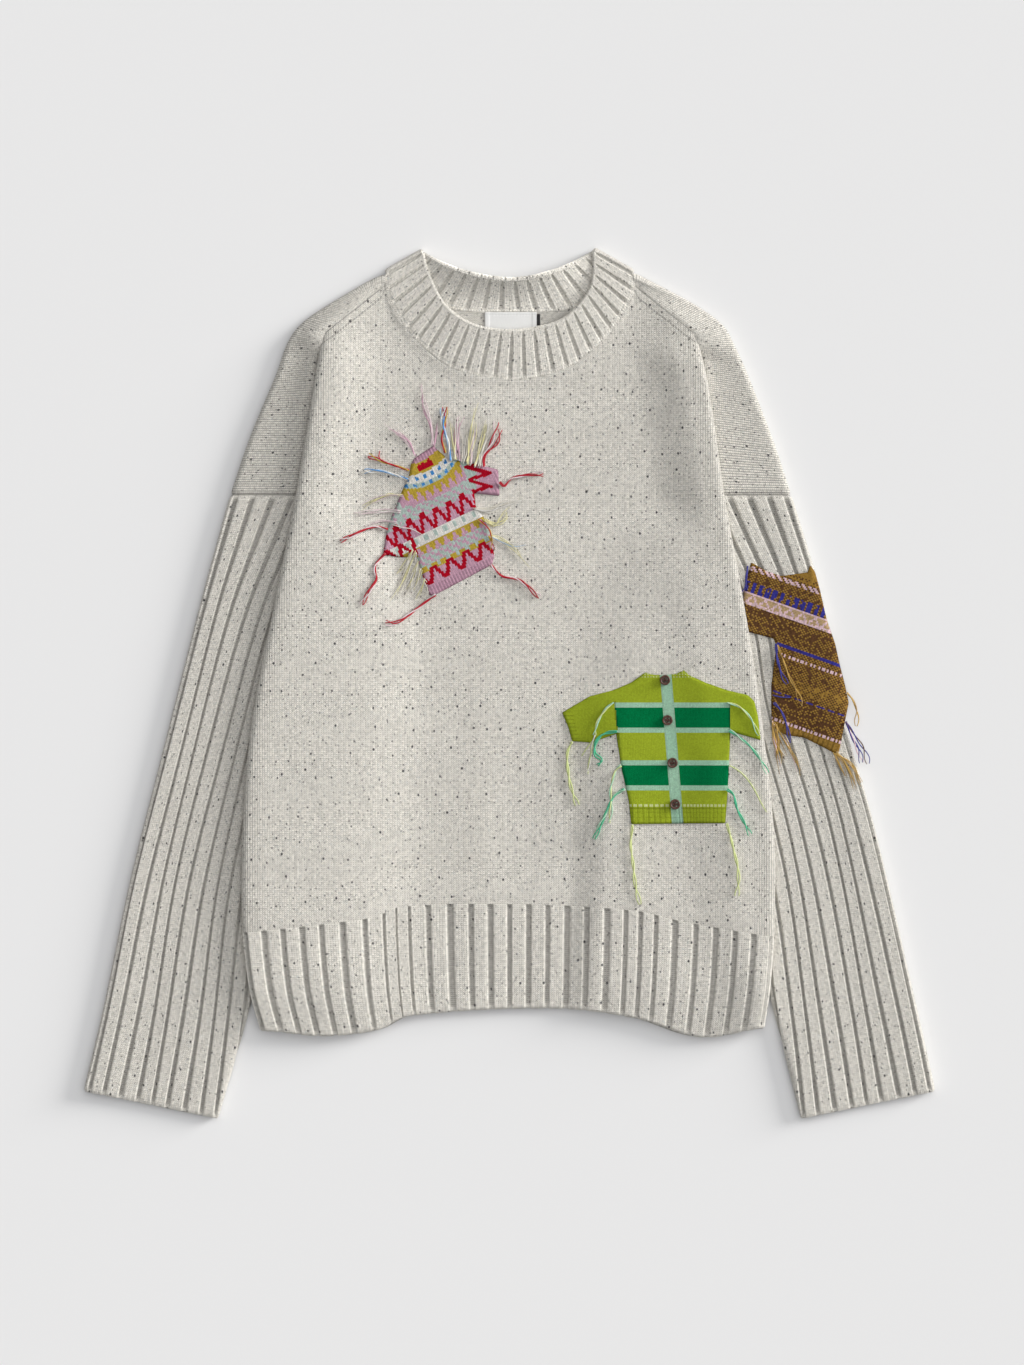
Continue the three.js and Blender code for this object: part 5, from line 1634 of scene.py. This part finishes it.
def right_sleeve_height(x, y):
    """Top of the right sleeve, drooping a little past its outer edge."""
    off = SIDES[1]["outer_at"](y) - x
    flat = EDGE_HEIGHT - (EDGE_HEIGHT - FRONT_TOP) * smooth(off, OUTER_R, 44)
    past = np.clip((OUTER_R - off) / 13, 0, 1)
    return flat - OUTER_R * (1 - np.sqrt(1 - past**2))


# ---------------------------------------------------------------- yarn ends


def strand(piece, line, radius, dye, taper=0.3):
    piece.strands.append((line, radius, dye, taper))


TWIST = 27.0  # the length in which plies twist once round each other
PLY_SWELL = 1.22  # plies are made this many times the radius that is asked for
STRAND_SIDES = 5
FAN_START = 1.4  # how far apart loose fibres start


def yarn_end(piece, points, dyes, surface, radius=0.42, open_at=0.75, spread=1.4, drop=True):
    """Plies that leave the patch together and twist, and part towards their end."""
    radius = radius * PLY_SWELL
    plan = spline(np.array(points, float) + DARN_SHIFT, np.linspace(0, 1, 200))
    length = lengths(plan)[-1]
    count = max(8, int(length / 1.3))
    share = np.linspace(0, 1, count)
    plan = resampled(plan, share)
    along = np.gradient(plan, axis=0)
    across = np.column_stack([-along[:, 1], along[:, 0]])
    across /= np.maximum(np.linalg.norm(across, axis=1, keepdims=True), 1e-9)
    run = share * length
    seed = points[0][0] * 0.7 + points[0][1] * 1.3
    gap = radius * 1.15 + spread * smooth(share, open_at - 0.15, 1.05)
    for k, dye in enumerate(dyes):
        angle = run / TWIST * 2 * np.pi + k * 2 * np.pi / len(dyes) + seed
        wave = 0.5 * np.sin(run / 6.1 + seed + k) * smooth(share, 0, 0.3)
        side = gap * np.cos(angle) * (len(dyes) > 1) + wave
        lift = radius * (1 + (len(dyes) > 1) * (1 + np.sin(angle)) * 0.9)
        place = plan + across * side[:, None]
        z = surface(place[:, 0], place[:, 1]) + SEAM_GAP + lift + 0.25
        z = z + (1.9 * np.exp(-((run / 4) ** 2)) if drop else 0)
        z = z + 0.5 * np.sin(run / 8 + seed) ** 2 * smooth(share, 0.1, 0.4)
        strand(piece, np.column_stack([place, z]), radius, dye)


def wisps(piece, points, dyes, surface, count=5, radius=0.345, fan=4.5):
    """A soft untwisted end: many thin fibres that fan out."""
    rng = np.random.default_rng(int(abs(points[0][0] * 31 + points[0][1] * 17 + points[-1][0] * 7)))
    base = np.array(points, float)
    for k in range(count):
        reach = rng.uniform(0.7, 1.0)
        offset = rng.normal(0, 1, (len(base), 2)) * np.linspace(FAN_START, fan, len(base))[:, None] * 0.5
        line = spline(base + offset + DARN_SHIFT, np.linspace(0, reach, 26))
        run = lengths(line)
        z = surface(line[:, 0], line[:, 1]) + SEAM_GAP + radius + 0.2 + rng.uniform(0, 0.8)
        z = z + 1.7 * np.exp(-((run / 5) ** 2)) + 0.6 * np.sin(run / rng.uniform(5, 9) + k) ** 2
        strand(piece, np.column_stack([line, z]), radius, dyes[k % len(dyes)], taper=0.6)


def ends_piece(name):
    piece = Piece(name)
    piece.strands = []
    return piece


def lay_strands(piece):
    """Every strand with its own row of the bake map."""
    n = len(piece.strands)
    for k, (line, radius, dye, taper) in enumerate(piece.strands):
        rect = (0.01, 0.01 + 0.98 * k / n, 0.99, 0.01 + 0.98 * (k + 0.9) / n)
        tube(piece, line, radius, dye, rect, sides=STRAND_SIDES, taper=taper)
    return piece.build("yarn_ends", MATERIALS["yarn"])


def fair_isle_ends():
    piece = ends_piece("yarn_ends_fair_isle_strands")
    top = front_height
    for points in ([(-101, 103), (-109, 93), (-108, 82), (-114, 73), (-120, 62)],
                   [(-61, 70), (-75, 60), (-86, 51), (-94, 47), (-101, 48)],
                   [(-17, 94), (-8, 85), (7, 81), (22, 68)],
                   [(-99, 122), (-110, 124), (-126, 118), (-137, 113)],
                   [(-10, 160), (-6, 157), (0, 163), (12, 166), (25, 166)]):
        yarn_end(piece, points, [RED, RED, PALE_PINK], top, 0.5, 0.8, 1.0)
    yarn_end(piece, [(-22, 172), (-23, 180), (-16, 194), (-12, 208)], [RED, PALE_PINK], top, 0.5, 0.5, 1.2)
    yarn_end(piece, [(-22, 172), (-21, 182), (-12, 192), (-9, 202)], [RED, RED], top, 0.45, 0.5, 1.0)
    yarn_end(piece, [(-82, 169), (-92, 173), (-103, 176), (-115, 181)], [RED, MUSTARD, RED], top, 0.45)
    yarn_end(piece, [(-103, 176), (-106, 180), (-105, 185)], [RED], top, 0.4, drop=False)
    yarn_end(piece, [(-83, 162), (-95, 166), (-106, 169), (-118, 169)], [BLUE, SKY, WHITE], top, 0.45)
    yarn_end(piece, [(-53, 183), (-56, 195), (-54, 207), (-53, 220)], [RED, MUSTARD, RED], top, 0.45)
    yarn_end(piece, [(-49, 177), (-51, 190), (-55, 205), (-55, 219)], [BLUE, SKY, WHITE], top, 0.5)
    wisps(piece, [(-77, 181), (-82, 192), (-92, 200), (-101, 208)], [PALE_PINK, PINK], top, 6)
    wisps(piece, [(-63, 189), (-65, 205), (-70, 220), (-73, 238)], [PALE_PINK, PALE_PINK, PINK], top, 6)
    wisps(piece, [(-62, 189), (-60, 200), (-58, 212)], [PALE_PINK, PINK], top, 4)
    locks = [(-49, 211, 1, LEMON), (-42, 216, -2, PINK), (-38, 204, 2.5, CREAM), (-31, 219, 1.5, LEMON),
             (-27, 207, -1.5, PALE_PINK), (-20, 216, 2, LEMON), (-13, 206, -2, CREAM)]
    for k, (x, y, bend, dye) in enumerate(locks):
        start = (-45 + k * 3.1, 178 - k)
        middle = ((start[0] + x) / 2 + bend, (start[1] + y) / 2)
        wisps(piece, [start, middle, (x, y)], [dye, dye, WHITE], top, 5, fan=4.2)
    wisps(piece, [(-88, 150), (-98, 150), (-110, 146), (-121, 139)], [LEMON, PALE_PINK], top, 5)
    wisps(piece, [(-89, 137), (-103, 137), (-118, 135), (-130, 132)], [PALE_PINK, WHITE], top, 5)
    wisps(piece, [(-92, 127), (-106, 129), (-120, 124)], [PALE_PINK], top, 3)
    wisps(piece, [(-30, 139), (-18, 138), (-4, 143), (10, 144)], [WHITE, CREAM], top, 6)
    wisps(piece, [(-22, 130), (-14, 126), (-7, 129), (-3, 138)], [LEMON, LEMON], top, 5)
    wisps(piece, [(-17, 117), (-8, 114), (3, 104), (12, 90)], [LEMON, LEMON, CREAM], top, 5)
    wisps(piece, [(-16, 116), (0, 110), (14, 114)], [WHITE, SKY], top, 3)
    for start, end in (((-77, 104), (-97, 64)), ((-75, 97), (-88, 68)), ((-73, 90), (-84, 74)),
                       ((-70, 82), (-77, 65)), ((-79, 106), (-92, 84))):
        middle = ((start[0] + end[0]) / 2 + 2, (start[1] + end[1]) / 2)
        wisps(piece, [start, middle, end], [CREAM, LEMON, WHITE], top, 5, fan=6.5)
    yarn_end(piece, [(-96, 126), (-88, 124), (-80, 123), (-72, 118)], [WHITE], patch_top, 0.3, drop=False)
    yarn_end(piece, [(-27, 130), (-18, 121), (-15, 106)], [RED, MUSTARD], patch_top, 0.35, drop=False)
    return lay_strands(piece)


def patch_top(x, y):
    return front_height(x, y) + PATCH_CLOTH


def cardigan_ends():
    piece = ends_piece("yarn_ends_cardigan_strands")
    top = front_height

    def run(points, dyes, radius=0.5, on_patch=False):
        yarn_end(piece, points, dyes, patch_top if on_patch else top, radius, 0.8, 0.8, drop=not on_patch)

    run([(81, -16), (74, -22), (68, -31), (66, -42)], [LIME_PALE, MINT], 0.5, True)
    run([(66, -42), (63, -55), (60, -73)], [LIME_PALE, WHITE], 0.4)
    run([(67, -40), (62, -49), (56, -59)], [LIME_PALE], 0.4)
    run([(84, -39), (74, -41), (67, -48), (66, -57), (71, -62), (68, -66)], [JADE, JADE], 0.6)
    run([(87, -66), (82, -71), (79, -85), (79, -98), (77, -112)], [LIME_PALE, MINT], 0.5)
    run([(90, -85), (82, -90), (75, -103), (66, -125)], [JADE, JADE, MINT], 0.5)
    run([(48, -47), (44, -58), (45, -74), (52, -98)], [LIME_PALE, LIME_PALE], 0.55)
    run([(96, -113), (95, -130), (97, -152), (102, -177)], [LIME_PALE, LIME_PALE], 0.5)
    run([(171, -112), (175, -128), (180, -147), (179, -170)], [LIME_PALE, LIME_PALE], 0.5)
    run([(171, -16), (180, -19), (190, -29), (197, -42)], [LIME_PALE, MINT], 0.45, True)
    run([(173, -38), (182, -44), (193, -55), (204, -72)], [JADE, MINT], 0.5)
    run([(173, -66), (183, -72), (193, -86), (203, -103)], [LIME_PALE], 0.45)
    run([(171, -85), (177, -90), (180, -103), (190, -121)], [JADE, JADE], 0.5)
    return lay_strands(piece)


def striped_ends():
    piece = ends_piece("yarn_ends_striped_strands")
    top = right_sleeve_height

    def on_patch(x, y):
        return top(x, y) + PATCH_CLOTH

    yarn_end(piece, [(211, 31), (211, 20), (215, 8), (220, -1)], [INK, INK], on_patch, 0.5, drop=False)
    yarn_end(piece, [(212, 30), (218, 12), (226, -4), (231, -19)], [OLIVE, STRAW], on_patch, 0.4, drop=False)
    yarn_end(piece, [(208, -10), (214, -12), (222, -12)], [INK], on_patch, 0.4, drop=False)
    yarn_end(piece, [(209, -16), (215, -24), (220, -36), (222, -48)], [INK, INK], on_patch, 0.45,
             drop=False)
    yarn_end(piece, [(188, 93), (187, 85), (187, 74)], [INK, INK], on_patch, 0.45, drop=False)
    yarn_end(piece, [(186, 75), (183, 72), (182, 65)], [INK, ROSE], top, 0.4)
    for points in ([(208, -31), (209, -45), (213, -60), (216, -73)],
                   [(209, -32), (218, -47), (226, -60), (230, -73)],
                   [(208, -33), (212, -48), (220, -62)], [(210, -33), (213, -50), (210, -64)]):
        wisps(piece, points, [STRAW, OLIVE, ROSE, STRAW], top, 5, 0.38, 3.4)
    for points in ([(258, -56), (265, -64), (272, -75), (274, -86)],
                   [(259, -57), (270, -66), (277, -78), (280, -86)],
                   [(257, -56), (262, -67), (268, -78)]):
        wisps(piece, points, [STRAW, TAN], top, 5, 0.38, 3.0)
    yarn_end(piece, [(266, -31), (271, -42), (276, -53), (279, -64)], [INK, ROSE, INK], top, 0.4, 0.4, 1.6)
    yarn_end(piece, [(266, -31), (274, -42), (281, -53), (284, -65)], [BROWN, INK], top, 0.4, 0.4, 1.6)
    yarn_end(piece, [(267, -8), (272, -14), (276, -24), (275, -35)], [STRAW, TAN], top, 0.45, 0.5, 1.5)
    return lay_strands(piece)


# ---------------------------------------------------------------- assembly

pieces = {}
pieces["front_panel"] = front_panel()
pieces["front_hem_rib"] = front_hem()
pieces["back_hem_rib"] = back_hem()
pieces["back_panel"] = back_panel()
pieces["sleeve_left"] = sleeve(-1)
pieces["sleeve_right"] = sleeve(1)
pieces["neckband"] = neckband()
pieces["neck_label"] = neck_label()
pieces["label_tab"] = label_tab()
pieces["patch_fair_isle"] = patch(
    "patch_fair_isle_knit", FAIR_ISLE_OUTLINE, (-66, 70), 25.6, (1.3, 1.15),
    front_height, fair_isle_chart).build("fair_isle_wool", MATERIALS["dyed"])
pieces["patch_cardigan"] = patch(
    "patch_cardigan_knit", CARDIGAN_OUTLINE, (0, 0), 0, (1.15, 1.0),
    front_height, cardigan_chart, placket_lean).build("cardigan_wool", MATERIALS["dyed"])
pieces["patch_striped"] = patch(
    "patch_striped_knit", STRIPED_OUTLINE, (212.7, 30.7), -19.5, (1.4, 1.2),
    right_sleeve_height, striped_chart).build("striped_wool", MATERIALS["dyed"])
pieces["yarn_ends_fair_isle"] = fair_isle_ends()
pieces["yarn_ends_cardigan"] = cardigan_ends()
pieces["yarn_ends_striped"] = striped_ends()
for k in range(1, 5):
    pieces[f"button_{k}"] = button(f"button_{k}")
for node, piece in pieces.items():
    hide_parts(node)

floor_mesh = bpy.data.meshes.new("floor")
floor_mesh.from_pydata([(-6, -6, -0.0004), (6, -6, -0.0004), (6, 6, -0.0004), (-6, 6, -0.0004)], [],
                       [(0, 1, 2, 3)])
floor = bpy.data.objects.new("floor", floor_mesh)
floor_mesh.materials.append(floor_material())
bpy.context.scene.collection.objects.link(floor)
make_light()
bpy.context.scene.view_settings.view_transform = "Standard"
